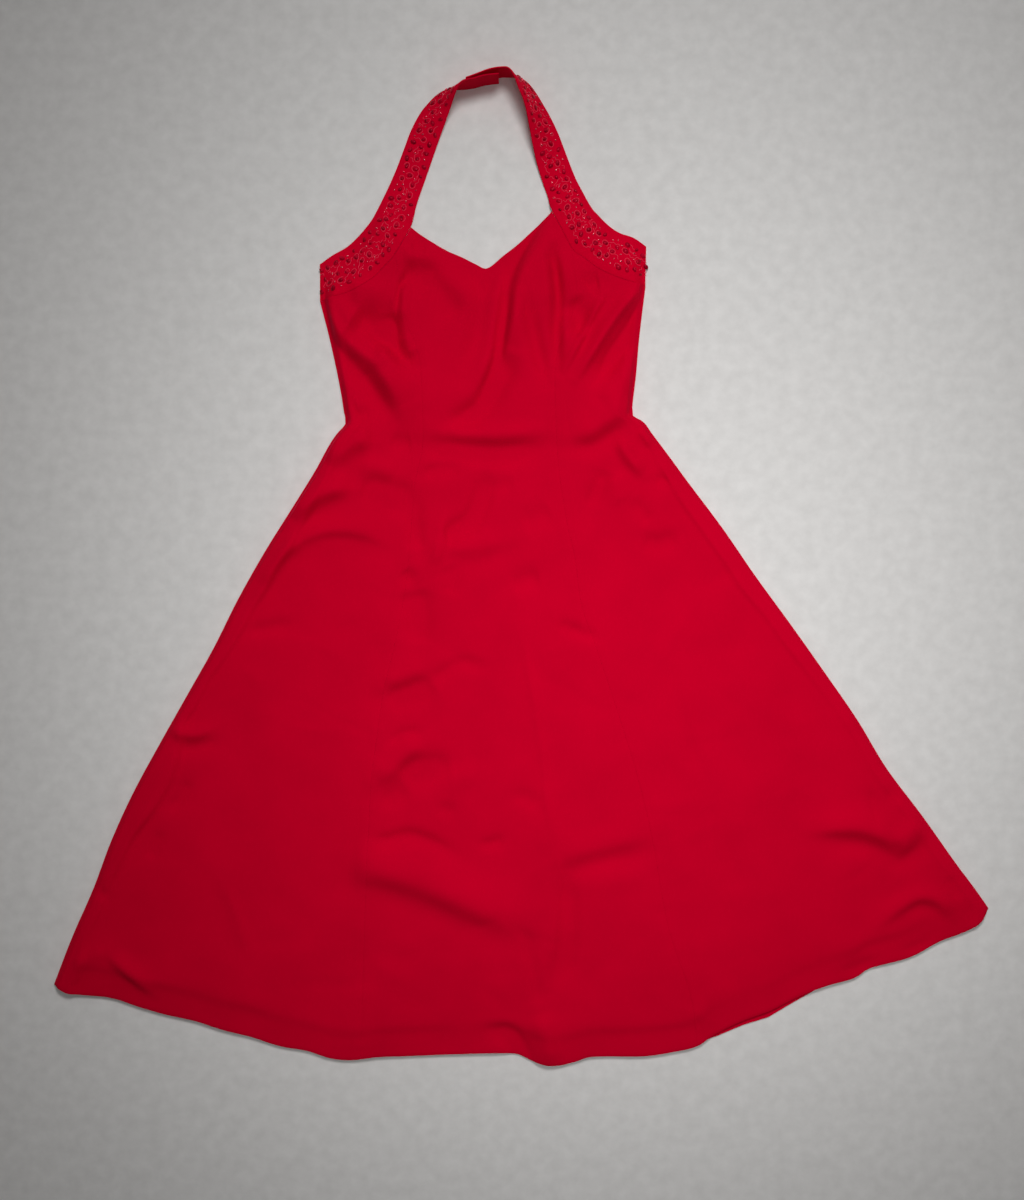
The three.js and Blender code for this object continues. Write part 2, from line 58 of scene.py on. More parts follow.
# How far the front arches up over the back, and how far in from each edge it has risen
LOFT = 5
BODICE_LOFT = 10
SKIRT_END, BODICE_START = 150, 230
SIDE_FALL = 30
BODICE_FALL = 17
EDGE_FALL = SIDE_FALL / 4
TOP_FALL = 45
HEM_FALL = 60
HEM_LOFT_SHARE = 0.45

# Folds: how much they are raised and how softly they meet the back; then the rise and size of the
# cloth's unevenness
FOLD_GAIN = 1.15
FOLD_KNEE = 2.2
BROAD_RISE, BROAD_WAVE = 0.28, 150
FINE_RISE, FINE_WAVE = 0.15, 42

# What presses through the front: rises and dips, and how far they reach
ALLOWANCE_RISE_LEFT, ALLOWANCE_RISE_RIGHT = 4.6, 2.4
ALLOWANCE_RAMP, ALLOWANCE_END_IN, ALLOWANCE_END_OUT = 8, 4, 6
SIDE_DIP, SIDE_DIP_REACH = 0.45, 2.5
PRINCESS_RISE, PRINCESS_REACH, PRINCESS_END = 0.3, 9, 14
SEAM_DIP, SEAM_DIP_REACH = 0.25, 1.5
PUCKER_RISE, PUCKER_LENGTH, PUCKER_REACH = 0.12, 23, 9
HEM_RISE, HEM_RISE_AT, HEM_RISE_ABOVE, HEM_RISE_BELOW = 2.1, 9, 18, 8
HEM_SIDE_START, HEM_SIDE_FULL = 8, 40
HEM_DIP, HEM_DIP_REACH = 0.8, 1.6
BAND_LINE = (330, 350)
WOBBLE_WAVE, STRENGTH_WAVE = 70, 160

# Side edges of the front, a row per height: y, x
SIDE_LEFT = [
    (-517, -583.8), (-457, -560.6), (-397, -534.4), (-337, -511.9), (-277, -484.4),
    (-217, -451.9), (-157, -418.1), (-97, -384.4), (-37, -354.4), (23, -320.6),
    (83, -283.1), (125.5, -256.9), (155.5, -240.6), (170.5, -230.6), (183, -220),
    (200.5, -221.9), (245.5, -229.4), (290.5, -238.1), (336.8, -248.1),
]
SIDE_RIGHT = [
    (-422, 583.1), (-397, 565.6), (-367, 543.1), (-307, 500.6), (-247, 455.6),
    (-187, 419.4), (-127, 378.1), (-67, 335.6), (-7, 291.9), (53, 250.6),
    (113, 205.6), (140.5, 185.6), (170.5, 163.1), (185.5, 151.9), (193, 139.4),
    (200.5, 138.1), (245.5, 143.1), (290.5, 146.9), (355.5, 154.4),
]

# Seam allowances pressing through beside the side edges, a row per height: y, width
ALLOWANCE_LEFT = [
    (-517, 24), (-370, 20), (-265, 40), (-190, 18), (-87, 23), (7, 31), (90, 26), (190, 12),
    (336.8, 11),
]
ALLOWANCE_RIGHT = [
    (-422, 18), (-330, 22), (-185, 20), (-60, 27), (53, 30), (110, 24), (190, 12), (355.5, 11),
]

# Seams down the front, a row per height: y, x
PRINCESS_LEFT = [
    (-609.5, -200.6), (-570.8, -199.4), (-412, -194.4), (-330.8, -190.6), (-259.5, -186.9),
    (-203.3, -179.4), (-150.8, -171.9), (-99.5, -159.4), (-37, -146.9), (13, -140.6),
    (106.7, -133.1), (150.5, -123.8), (213, -123.1), (250.5, -125.6), (281.8, -131.9),
    (306.8, -143.1), (331.8, -148.8), (363, -151.9), (393, -156.9),
]
PRINCESS_RIGHT = [
    (-593.2, 219.4), (-530.8, 210.6), (-445.8, 183.1), (-330.8, 161.9), (-262, 145.6),
    (-187, 123.1), (-112, 98.1), (-42, 74.4), (13, 66.9), (56.7, 56.9),
    (113, 48.1), (150.5, 44.4), (213, 41.9), (250.5, 41.9), (281.8, 46.9),
    (310.5, 60.6), (338, 68.1), (363, 66.9), (400.5, 61.9),
]

# Seam down the middle of the back, a row per height: y, x
BACK_SEAM = [
    (-610, 34.4), (-487, 39.4), (-349.5, 43.1), (-242, 29.4), (-102, 1.9),
    (25.5, -20.6), (181.7, -36.9), (309.3, -42.6), (360, -43.6),
]

# Lower edges of the front and of the back: x, y
FRONT_HEM = [
    (-583.8, -517), (-564.4, -527), (-511.9, -533.2), (-476.9, -544.5), (-441.9, -554.5),
    (-406.9, -562), (-371.9, -573.2), (-336.9, -582), (-301.9, -593.2), (-266.9, -599.5),
    (-239.4, -608.2), (-214.4, -610.8), (-179.4, -607), (-144.4, -605.8), (-74.4, -603.2),
    (-8.1, -603.2), (13.1, -612), (30.6, -617), (48.1, -617), (65.6, -613.2),
    (85.6, -607), (153.1, -605.8), (188.1, -600.8), (219.4, -593.2), (240.6, -579),
    (275.6, -562), (310.6, -549), (345.6, -531.5), (380.6, -518), (415.6, -508.2),
    (433.1, -497), (485.6, -482), (520.6, -463.2), (555.6, -449.5), (573.1, -438.2),
    (583.1, -422),
]
BACK_HEM = [
    (-583.8, -515), (-511.9, -530), (-406.9, -559), (-301.9, -590), (-214.4, -607),
    (-74.4, -600), (34.4, -601), (153.1, -603), (219.4, -591), (240.6, -583),
    (275.6, -568.2), (310.6, -557), (345.6, -535.8), (380.6, -517), (433.1, -494),
    (520.6, -461), (583.1, -420),
]

# Neck edge of the middle panel and the upper outline of the whole front: x, y
NECK_LINE = [
    (-138.1, 428), (-126.9, 419.2), (-109.4, 408), (-91.9, 398), (-74.4, 390.5),
    (-56.9, 381.8), (-43.1, 376.8), (-21.9, 393), (-4.4, 406.8), (13.1, 423),
    (30.6, 439.2), (38.1, 446.8),
]
NECK_POINT_X = -43.1
UPPER_OUTLINE = [
    (-251.9, 381.8), (-218.1, 403), (-193.1, 428.6), (-174.4, 460.5), (-156, 462),
    (-138.1, 430), (-109.4, 408), (-43.1, 376.8), (-4.4, 406.8), (38.1, 448),
    (60, 475), (75.6, 473), (95.6, 443), (121.9, 421.1), (155.6, 404.2),
]

# Bands, a row per section: outer edge x, y, inner edge x, y, height of the inner edge
BAND_LEFT = [
    (-251.9, 381.8, -248.1, 336.8, 0), (-235.6, 393, -226.9, 341.1, 0),
    (-218.1, 403, -205.6, 349.2, 0), (-204.4, 415.5, -185.6, 361.8, 0),
    (-193.1, 428.6, -170, 377.4, 0), (-185, 439.9, -156.9, 393, 0),
    (-174.4, 460.5, -138.1, 428, 0), (-166.2, 478, -130, 458, 0),
    (-155.6, 503, -118.8, 490.5, 0.3), (-146.2, 528, -109.3, 517.7, 1.5),
    (-138.1, 549.2, -99.2, 545.5, 4), (-126.9, 569.9, -89.5, 568.9, 12),
    (-116.9, 582.4, -85.5, 577.7, 19), (-106.9, 592.4, -82.3, 584.2, 27),
    (-98.1, 598, -79.4, 589.8, 32), (-89.4, 600.5, -75.6, 595.5, 35),
    (-80.6, 600.5, -71.3, 599, 37), (-70.6, 600.8, -65.7, 600.6, 38),
    (-59.9, 602.4, -58.4, 601.8, 38), (-45.6, 606, -44.9, 605.7, 37.5),
    (-28.1, 608.4, -27.8, 607.6, 37),
]
BAND_RIGHT = [
    (155.6, 404.2, 154.4, 355.5, 0), (139.4, 414.9, 135.6, 358.6, 0),
    (121.9, 421.1, 115.6, 365.5, 0), (108.1, 430.5, 94.4, 375.5, 0),
    (95.6, 443, 76.9, 388.5, 0), (86.9, 453, 61.9, 400.5, 0),
    (75.6, 473, 38.1, 446.8, 0), (68.1, 488, 32.5, 465.5, 0.3),
    (60.6, 506.8, 24.3, 488.7, 2), (52.5, 528, 17.4, 511.2, 6),
    (44.4, 548, 12.3, 532, 15), (34.4, 568, 7.8, 553.4, 25),
    (25.6, 583, 4.7, 567.7, 30), (17.5, 596.1, 1, 579.3, 34),
    (8.1, 608, -3.9, 590, 36.5), (-1.9, 614.2, -8.8, 602.9, 38),
    (-14.4, 616, -16.2, 614, 38), (-26.9, 615.5, -26.6, 615, 38),
    (-39.4, 613, -40, 612.6, 38), (-51.9, 609.2, -51, 608.8, 37.5),
    (-61.9, 605.9, -60.8, 605.3, 37), (-69.4, 603.4, -68.2, 602.9, 36.5),
]
PRINCESS_SECTION = 5
NECK_SECTION = 6
FREE_SECTION = 8
SECTION_STEP = 0.02
BAND_WIDTH = 40
BAND_CROWN = 0.8
TURNED_EDGE, TURNED_DIP = 1.4, 0.5
LOWEST_BAND = 0.2

# Bands along the back's top edge: x, upper edge y, lower edge y
BACK_BAND_LEFT = [
    (-251.9, 381.3, 337), (-218.1, 375.5, 330.5), (-151.9, 363, 318), (-43.2, 354.3, 309.3),
]
BACK_BAND_RIGHT = [
    (-43.2, 354.3, 309.3), (48.1, 366.8, 321.8), (123.1, 390.5, 345.5), (155, 403.6, 355.5),
]

# Folds and creases of the front: half its width, its rise, its lean (above 0 it is gentle on the
# left of its line and steep on the right), and the points of its line: x, y
FOLDS = [
    # bodice, left side
    (19.8, 9.9, 0.35, [(-239, 332), (-231, 308), (-212, 284), (-182, 259), (-163, 232),
                       (-149, 205)]),
    (15, -7.2, -0.2, [(-236, 288), (-221, 266), (-197, 240), (-176, 210), (-161, 188)]),
    (7.5, 3, 0.1, [(-231, 338), (-213, 313), (-194, 293), (-169, 267), (-152, 248)]),
    (24, -14, 0, [(-212, 310), (-188, 297), (-164, 280)]),
    (18, 4, -0.3, [(-214, 348), (-192, 350), (-168, 342)]),
    (12.5, -10, 0.1, [(-166, 320), (-163, 296), (-155, 274), (-134, 254)]),
    (9, 3.9, 0, [(-146, 294), (-143, 276), (-134, 266)]),
    (7.5, 5.4, -0.2, [(-146, 358), (-148, 338), (-147, 310)]),
    (6, -6, 0.2, [(-140, 372), (-151, 350), (-154, 320)]),
    # bodice, middle
    (12, 4.2, 0.1, [(-147, 388), (-127, 393), (-107, 386)]),
    (16, -7, 0, [(-147, 364), (-127, 369), (-109, 360)]),
    (8, -3.2, 0, [(-137, 406), (-129, 402), (-119, 403)]),
    (18.5, -6.8, -0.1, [(-124, 376), (-106, 352), (-89, 330), (-76, 314)]),
    (15, -7, 0, [(-48, 384), (-49, 350), (-50, 316), (-58, 280), (-76, 246)]),
    (9.5, -9, -0.1, [(36, 468), (18, 432), (-3, 392), (-15, 355), (-22, 318), (-30, 275)]),
    (21, 7.2, 0.5, [(46, 474), (28, 434), (8, 394), (-4, 356), (-12, 318), (-20, 280)]),
    (7, -9.5, 0, [(-15, 338), (-23, 302), (-29, 270), (-38, 240), (-52, 216)]),
    (14.5, -10.5, 0.15, [(-16, 272), (-27, 238), (-50, 204), (-90, 181)]),
    (10.4, -6.3, 0, [(3, 345), (12, 307), (22, 268), (31, 233)]),
    (8, -8.4, -0.1, [(38, 398), (43, 368), (46, 338), (45, 300), (45, 252)]),
    (13, 3.6, 0.4, [(46, 400), (52, 368), (54, 338), (53, 300), (52, 260)]),
    (11.2, 3.2, 0, [(31, 386), (33, 357), (34, 326)]),
    # bodice, right side
    (8, 7, -0.3, [(146, 350), (126, 326), (107, 300), (90, 273), (68, 238)]),
    (5.5, 4.4, -0.2, [(104, 344), (88, 316), (72, 284), (54, 250)]),
    (16, -9, 0, [(60, 338), (70, 316), (76, 290)]),
    (12, -3.8, 0, [(81, 350), (88, 356), (97, 358)]),
    (13, -12.5, 0.1, [(155, 330), (136, 300), (117, 272), (96, 238)]),
    (18, 3.8, 0, [(136, 250), (121, 228), (98, 210)]),
    # waist
    (15, -8.5, 0, [(-122, 153), (-94, 150), (-64, 147), (-27, 145), (1, 148), (31, 155)]),
    (12, 4.8, 0, [(-114, 172), (-64, 169), (-27, 167), (23, 172)]),
    (17, 6.4, 0.25, [(60, 168), (84, 172), (102, 183), (118, 193), (139, 205)]),
    (12, -3.6, -0.2, [(62, 154), (86, 155), (106, 165), (126, 178)]),
    (9.5, 6.1, 0.2, [(122, 162), (128, 148), (138, 134), (152, 120)]),
    (6.8, 3.4, 0.2, [(146, 175), (152, 165), (161, 155)]),
    (10.8, -4, 0, [(-164, 162), (-149, 158), (-137, 159)]),
    (9.5, -3, 0, [(-204, 190), (-198, 193), (-189, 192)]),
    # left hip
    (18, 10, 0.3, [(-240, 130), (-222, 149), (-204, 160), (-184, 161)]),
    (19, -9, 0, [(-200, 106), (-177, 98), (-157, 89), (-135, 88)]),
    (15, 3.5, 0, [(-204, 132), (-180, 125), (-158, 116)]),
    (16, 11, 0.3, [(-284, 62), (-270, 79), (-252, 92), (-232, 100), (-212, 103)]),
    (14, 2.4, 0.1, [(-274, 30), (-255, 46), (-228, 54), (-199, 56), (-172, 50)]),
    (10, 3.4, 0.4, [(-308, -4), (-295, 18), (-275, 36), (-252, 46), (-226, 49), (-194, 44),
                   (-171, 34)]),
    (13, 4.5, 0.3, [(-322, -20), (-308, 4), (-290, 24), (-272, 36)]),
    (9.1, -2.6, 0, [(-339, -77), (-314, -72), (-286, -66)]),
    # right hip
    (11.2, -4.4, 0, [(104, 125), (96, 103), (84, 78)]),
    (8.4, -2.3, 0, [(166, 114), (176, 112), (182, 115)]),
    (11.2, -4.7, -0.1, [(151, 40), (171, 33), (193, 43)]),
    (9.8, -2.7, 0, [(138, 88), (151, 70), (161, 60)]),
    (12.6, 2.7, 0, [(113, 119), (119, 100), (126, 82)]),
    # middle of the hips
    (8.8, -4.5, -0.2, [(-122, 120), (-102, 127), (-76, 125)]),
    (11.9, -8.3, 0.1, [(-48, 113), (-51, 88), (-63, 63), (-86, 48), (-97, 44)]),
    (10.8, -2.6, 0, [(-54, 110), (-33, 105), (-9, 110)]),
    (13.4, 2.5, 0.2, [(-93, 32), (-74, 29), (-47, 32), (-21, 38)]),
    (13.4, -2.1, -0.1, [(-87, 13), (-64, 7), (-34, 15), (3, 28)]),
    (12.2, -3.9, 0, [(-13, -20), (4, -13), (23, -8)]),
    (13.5, -2.8, 0, [(-94, 5), (-87, -12), (-91, -32)]),
    (14.9, -3.1, 0, [(1, 58), (18, 65), (36, 75)]),
    (9, -3.6, 0, [(-146, 0), (-141, -8), (-136, -15)]),
    (10.5, -5, 0, [(-136, 92), (-133, 53), (-127, 23)]),
    (8.1, 3.1, 0, [(-98, 63), (-103, 32), (-108, 5)]),
    (16.2, -6.7, 0, [(-134, -25), (-129, -52), (-127, -93)]),
    (8.1, -2.1, 0, [(48, -66), (58, -72), (71, -77)]),
    (8.1, -2.1, 0, [(61, -73), (73, -78), (98, -87)]),
    # skirt, middle panel
    (16, -7.4, -0.15, [(-169, -162), (-149, -157), (-129, -150), (-112, -139)]),
    (9.8, -3.1, -0.1, [(-109, -137), (-92, -125), (-72, -115), (-44, -122)]),
    (11.7, 2.9, 0.1, [(-172, -142), (-147, -133), (-122, -122)]),
    (5.9, -2.3, 0, [(-164, -215), (-147, -203), (-127, -202)]),
    (14, 4.6, 0.2, [(-182, -261), (-162, -247), (-142, -227), (-122, -215)]),
    (18, -8.2, -0.1, [(-147, -262), (-132, -250), (-112, -248), (-87, -245)]),
    (13, -3.7, 0, [(-174, -283), (-161, -284), (-142, -274)]),
    (15.6, 2.9, 0, [(-112, -257), (-87, -257), (-54, -252)]),
    (9.1, -1.9, 0, [(-104, -294), (-94, -298), (-82, -297)]),
    (10.4, -4.9, -0.2, [(-186, -334), (-167, -336), (-142, -330), (-117, -337), (-87, -351)]),
    (7.8, -2.9, -0.1, [(-52, -340), (-38, -340), (-22, -334)]),
    (10.4, -2.3, 0, [(-12, -282), (6, -283), (19, -297)]),
    (29, 9, 0.1, [(-214, -363), (-187, -368), (-142, -382), (-93, -401), (-49, -421), (1, -438)]),
    (16.9, -3.1, -0.2, [(-207, -392), (-169, -400), (-127, -413), (-74, -436), (-17, -458)]),
    (19, 2.6, 0.3, [(48, -356), (76, -348), (106, -341), (141, -332), (168, -324)]),
    (11.7, -2.6, 0, [(56, -377), (98, -363), (148, -352)]),
    (13.3, -6.3, 0, [(52, -377), (56, -412), (56, -450), (51, -487), (36, -522)]),
    (7.8, -2, 0, [(3, -443), (11, -484), (19, -522), (26, -542)]),
    # skirt, sides
    (11.2, -2, 0, [(183, -97), (193, -175), (223, -263)]),
    (15.4, 6, 0.4, [(363, -323), (391, -321), (418, -321), (444, -328), (471, -340)]),
    (13, 3.3, 0, [(463, -340), (478, -330), (493, -314)]),
    (11.2, -3.8, -0.2, [(391, -340), (418, -341), (446, -350), (471, -362), (491, -350),
                        (506, -332)]),
    (5, -1.5, 0, [(434, -274), (438, -292), (442, -312)]),
    (10, -1.7, 0, [(453, -277), (464, -280), (473, -284)]),
    (8.8, 4, 0.3, [(-437, -198), (-422, -203), (-404, -205), (-384, -196)]),
    (8.8, -2.5, -0.2, [(-434, -217), (-409, -221), (-377, -212)]),
    (7.5, -2.8, 0, [(-413, -262), (-423, -280), (-436, -302)]),
    (7.5, -2.1, 0, [(-448, -324), (-456, -343), (-462, -362)]),
    (6.2, 1.6, 0, [(-372, -387), (-354, -431), (-339, -481)]),
    (6.2, -2.5, 0, [(-533, -390), (-526, -398), (-516, -408)]),
    # hem
    (9, 4.4, 0.4, [(-512, -480), (-494, -497), (-476, -513), (-460, -526)]),
    (9.9, 1.9, 0, [(-557, -494), (-537, -482), (-519, -472)]),
    (10, -10, -0.2, [(-34, -572), (-18, -576), (-7, -587), (3, -606), (11, -622)]),
    (15.4, 5.6, 0, [(21, -552), (31, -582), (38, -620)]),
    (11, 5, 0.3, [(447, -438), (472, -418), (496, -407), (518, -412), (536, -430)]),
    (10, -1.5, 0, [(479, -424), (499, -418), (521, -426)]),
    (7.7, -2.7, 0, [(406, -500), (423, -494), (443, -487)]),
    (6.6, -1.7, 0, [(476, -474), (492, -470), (508, -462)]),
    (9.9, -1.5, 0, [(531, -382), (537, -394), (544, -410)]),
    # the back's seam showing through
    (5.4, 1.6, -0.2, [(3, -87), (11, -131), (19, -175), (23, -210)]),
    (5.4, 1.7, -0.2, [(23, -197), (29, -241), (32, -284), (41, -330)]),
    (6, 1.4, 0, [(43, -350), (48, -387), (44, -437), (36, -518)]),
]
FOLD_STEPS = 5
FOLD_TAPER = 0.28
FOLD_REACH = 2.7

# Faint creases: how many, where they may lie, and how they vary
CREASES = 60
CREASE_FIELD_X, CREASE_FIELD_Y = 520, (-560, 340)
CREASE_MARGIN = 25
CREASE_LENGTHS = (30, 110)
CREASE_TURN, CREASE_TURN_SPREAD = 0.1, 0.55
CREASE_BOW = 8
CREASE_RISES = (0.2, 0.6)
CREASE_HALVES = (5, 12)


def lerp(a, b, t):
    return a + (b - a) * t


def smoothstep(value, low, high):
    t = np.clip((value - low) / (high - low), 0, 1)
    return t * t * (3 - 2 * t)


def line_through(rows, column=1):
    """A smooth line through rows of a rising place and a column of values."""
    places = np.array([row[0] for row in rows], float)
    values = np.array([row[column] for row in rows], float)
    last = len(rows) - 1

    def value_at(place):
        place = np.asarray(place, float)
        i = np.clip(np.searchsorted(places, place), 1, last)
        before, after = np.maximum(i - 2, 0), np.minimum(i + 1, last)
        span = places[i] - places[i - 1]
        t = np.clip((place - places[i - 1]) / span, 0, 1)
        into = (values[i] - values[before]) / (places[i] - places[before]) * span
        out = (values[after] - values[i - 1]) / (places[after] - places[i - 1]) * span
        ease = t * t * (3 - 2 * t)
        pulls = t * (1 - t) ** 2 * into + t * t * (t - 1) * out
        return lerp(values[i - 1], values[i], ease) + pulls

    return value_at


def smooth_path(points):
    """A smooth path through points, read by the number of the point."""
    points = np.array(points, float)
    ends = [2 * points[0] - points[1]], [2 * points[-1] - points[-2]]
    padded = np.concatenate([ends[0], points, ends[1]])
    last = len(points) - 1

    def place(section):
        section = np.clip(np.asarray(section, float), 0, last)
        i = np.minimum(section.astype(int), last - 1)
        t = (section - i)[..., None]
        a, b, c, d = (padded[i + k] for k in range(4))
        into, out = (c - a) / 2, (d - b) / 2
        return ((2 * t ** 3 - 3 * t ** 2 + 1) * b + (t ** 3 - 2 * t ** 2 + t) * into
                + (3 * t ** 2 - 2 * t ** 3) * c + (t ** 3 - t ** 2) * out)

    return place


side_left, side_right, allowance_left, allowance_right = (
    line_through(rows) for rows in (SIDE_LEFT, SIDE_RIGHT, ALLOWANCE_LEFT, ALLOWANCE_RIGHT))
princess_left, princess_right, back_seam = (
    line_through(rows) for rows in (PRINCESS_LEFT, PRINCESS_RIGHT, BACK_SEAM))
front_hem, back_hem, neck_line, upper_outline = (
    line_through(rows) for rows in (FRONT_HEM, BACK_HEM, NECK_LINE, UPPER_OUTLINE))


def fold_rise(fold, x, y):
    """Rise of one fold: soft across, steeper on the side it leans to, fading towards both ends."""
    half, rise, lean, points = fold
    steps = FOLD_STEPS * (len(points) - 1)
    line = smooth_path(points)(np.linspace(0, len(points) - 1, steps + 1))
    near = FOLD_REACH * half * (1 + abs(lean))
    low, high = line.min(0) - near, line.max(0) + near
    close = (x > low[0]) & (x < high[0]) & (y > low[1]) & (y < high[1])
    px, py = x[close], y[close]
    best = np.full(px.shape, np.inf)
    across, along, beyond = (np.zeros(px.shape) for _ in range(3))
    for i in range(steps):
        step = line[i + 1] - line[i]
        length = np.hypot(*step)
        reach = ((px - line[i][0]) * step[0] + (py - line[i][1]) * step[1]) / length ** 2
        part = np.clip(reach, 0, 1)
        dx, dy = px - line[i][0] - part * step[0], py - line[i][1] - part * step[1]
        away = np.hypot(dx, dy)
        past = np.zeros(px.shape)
        if i == 0:
            past = np.minimum(reach, 0) * length
        if i == steps - 1:
            past = past + np.maximum(reach - 1, 0) * length
        side = np.sign(step[0] * dy - step[1] * dx) * np.sqrt(np.maximum(away ** 2 - past ** 2, 0))
        nearer = away < best
        best = np.where(nearer, away, best)
        across = np.where(nearer, side, across)
        along = np.where(nearer, (i + part) / steps, along)
        beyond = np.where(nearer, past, beyond)
    width = half * np.where(across > 0, 1 + lean, 1 - lean)
    fade = smoothstep(np.minimum(along, 1 - along), -FOLD_TAPER / 2, FOLD_TAPER)
    result = np.zeros_like(x)
    result[close] = rise * fade * np.exp(-((across / width) ** 2) - (beyond / half) ** 2)
    return result


def small_creases(seed):
    """Faint creases scattered over the skirt and the bodice, mostly lying across it."""
    draw = random.Random(seed)
    rows = []
    while len(rows) < CREASES:
        y = draw.uniform(*CREASE_FIELD_Y)
        x = draw.uniform(-CREASE_FIELD_X, CREASE_FIELD_X)
        if not side_left(y) + CREASE_MARGIN < x < side_right(y) - CREASE_MARGIN:
            continue
        length = draw.uniform(*CREASE_LENGTHS)
        turn = draw.gauss(CREASE_TURN, CREASE_TURN_SPREAD)
        dx, dy = length / 2 * math.cos(turn), length / 2 * math.sin(turn)
        bow = draw.uniform(-CREASE_BOW, CREASE_BOW)
        rise = draw.choice((-1, 1)) * draw.uniform(*CREASE_RISES)
        middle = (x + bow * math.sin(turn), y + bow * math.cos(turn))
        line = [(x - dx, y - dy), middle, (x + dx, y + dy)]
        rows.append((draw.uniform(*CREASE_HALVES), rise, 0, line))
    return rows


WAVES = 14
WAVE_SIZES = (0.7, 1.8)
WAVE_SHIFT = 6.28


def wave_noise(x, y, seed, size):
    """Soft uneven rise and fall about as wide as size, from waves laid over each other."""
    draw = random.Random(seed)
    total = np.zeros_like(x)
    for _ in range(WAVES):
        turn = draw.uniform(0, 2 * math.pi)
        pace = 2 * math.pi / (size * draw.uniform(*WAVE_SIZES))
        shift = draw.uniform(0, WAVE_SHIFT)
        total += np.sin(pace * (x * math.cos(turn) + y * math.sin(turn)) + shift)
    return total / math.sqrt(WAVES)


ALL_FOLDS = FOLDS + small_creases(seed=11)


def front_height(x, y):
    """Height of the front's underside over the floor, in millimetres."""
    x, y = np.asarray(x, float), np.asarray(y, float)
    from_sides = np.minimum(x - side_left(y), side_right(y) - x)
    from_top = upper_outline(x) - y
    from_hem = y - front_hem(x)
    bodice = smoothstep(y, SKIRT_END, BODICE_START)
    inside = smoothstep(from_sides, 0, lerp(SIDE_FALL, BODICE_FALL, bodice))
    inside = inside * smoothstep(from_top, 0, TOP_FALL)
    loft = lerp(LOFT, BODICE_LOFT, bodice) * inside
    loft = loft * lerp(HEM_LOFT_SHARE, 1, smoothstep(from_hem, 0, HEM_FALL))
    edge = smoothstep(from_sides, 0, EDGE_FALL)
    folds = FOLD_GAIN * sum(fold_rise(fold, x, y) for fold in ALL_FOLDS)
    broad, fine = wave_noise(x, y, 5, BROAD_WAVE), wave_noise(x, y, 6, FINE_WAVE)
    folds += BROAD_RISE * broad + FINE_RISE * fine
    height = loft + folds * edge
    soft = 0.5 * (height + np.hypot(height, FOLD_KNEE))
    return FLOOR_OF_FRONT + soft * edge


def bell(away, reach):
    """1 on a line, falling softly to 0 beside it."""
    return np.exp(-((away / reach) ** 2))


def front_surface(x, y):
    """The front's upper surface: the cloth, its seam allowances and its hem pressing through."""
    z = front_height(x, y) + CLOTH
    wobble = wave_noise(x, y, 8, WOBBLE_WAVE)
    strength = 0.7 + 0.35 * wave_noise(x, y, 9, STRENGTH_WAVE)
    from_sides = np.minimum(x - side_left(y), side_right(y) - x)
    below_bands = 1 - smoothstep(y, *BAND_LINE)

    # side seams: the allowance inside the edge, and the rounded edge
    reach = np.where(x < 0, allowance_left(y), allowance_right(y)) + 1.5 * wobble
    allowance = 1 - smoothstep(from_sides, reach - ALLOWANCE_END_IN, reach + ALLOWANCE_END_OUT)
    pressed = np.where(x < 0, ALLOWANCE_RISE_LEFT, ALLOWANCE_RISE_RIGHT) * (0.8 + 0.25 * strength)
    z += pressed * allowance * smoothstep(from_sides, 0, ALLOWANCE_RAMP)
    z -= SIDE_DIP * bell(np.maximum(from_sides, 0), SIDE_DIP_REACH)

    # princess seams: allowances pressed open, the seam's dip and its pucker
    for seam in (princess_left, princess_right):
        away = np.abs(x - seam(y))
        open_part = 1 - smoothstep(away, PRINCESS_REACH + wobble, PRINCESS_END + wobble)
        z += PRINCESS_RISE * open_part * below_bands
        z -= SEAM_DIP * bell(away, SEAM_DIP_REACH) * below_bands
        pucker = np.sin(2 * math.pi * y / PUCKER_LENGTH + 2 * wobble)
        z += PUCKER_RISE * pucker * bell(away, PUCKER_REACH)

    # hem: a puff just over its stitching, and the rounded fold
    from_hem = y - front_hem(x)
    from_puff = from_hem - HEM_DEPTH - 0.8 * wobble - HEM_RISE_AT
    puffed = bell(from_puff, np.where(from_puff > 0, HEM_RISE_ABOVE, HEM_RISE_BELOW))
    z += HEM_RISE * strength * puffed * smoothstep(from_sides, HEM_SIDE_START, HEM_SIDE_FULL)
    z -= HEM_DIP * bell(np.maximum(from_hem, 0), HEM_DIP_REACH)
    return z


def add_object(name, data):
    obj = bpy.data.objects.new(name, data)
    bpy.context.scene.collection.objects.link(obj)
    return obj


def add_piece(name, mesh, material):
    mesh.materials.append(material)
    return add_object(name, mesh)


def mesh_from(name, bm):
    mesh = bpy.data.meshes.new(name)
    bm.to_mesh(mesh)
    bm.free()
    return mesh


def cloth_grid(name, points, uv, material, thickness):
    """A thin shell of cloth: a grid moved to points, a row of places per grid row."""
    rows, columns = points.shape[0] - 1, points.shape[1] - 1
    bm = bmesh.new()
    bmesh.ops.create_grid(bm, x_segments=columns, y_segments=rows, size=0.5)
    layer = bm.loops.layers.uv.new("cloth")
    for vert in bm.verts:
        column = round((vert.co.x + 0.5) * columns)
        row = round((0.5 - vert.co.y) * rows)
        vert.co = points[row, column] * MM
        for loop in vert.link_loops:
            loop[layer].uv = uv[row, column] * MM
    for face in bm.faces:
        face.smooth = True
    for edge in bm.edges:
        edge.smooth = not edge.is_boundary
    obj = add_piece(name, mesh_from(name, bm), material)
    shell = obj.modifiers.new("thickness", "SOLIDIFY")
    shell.thickness = thickness * MM
    shell.offset = -1
    return obj


# ---- laying out the panels ----

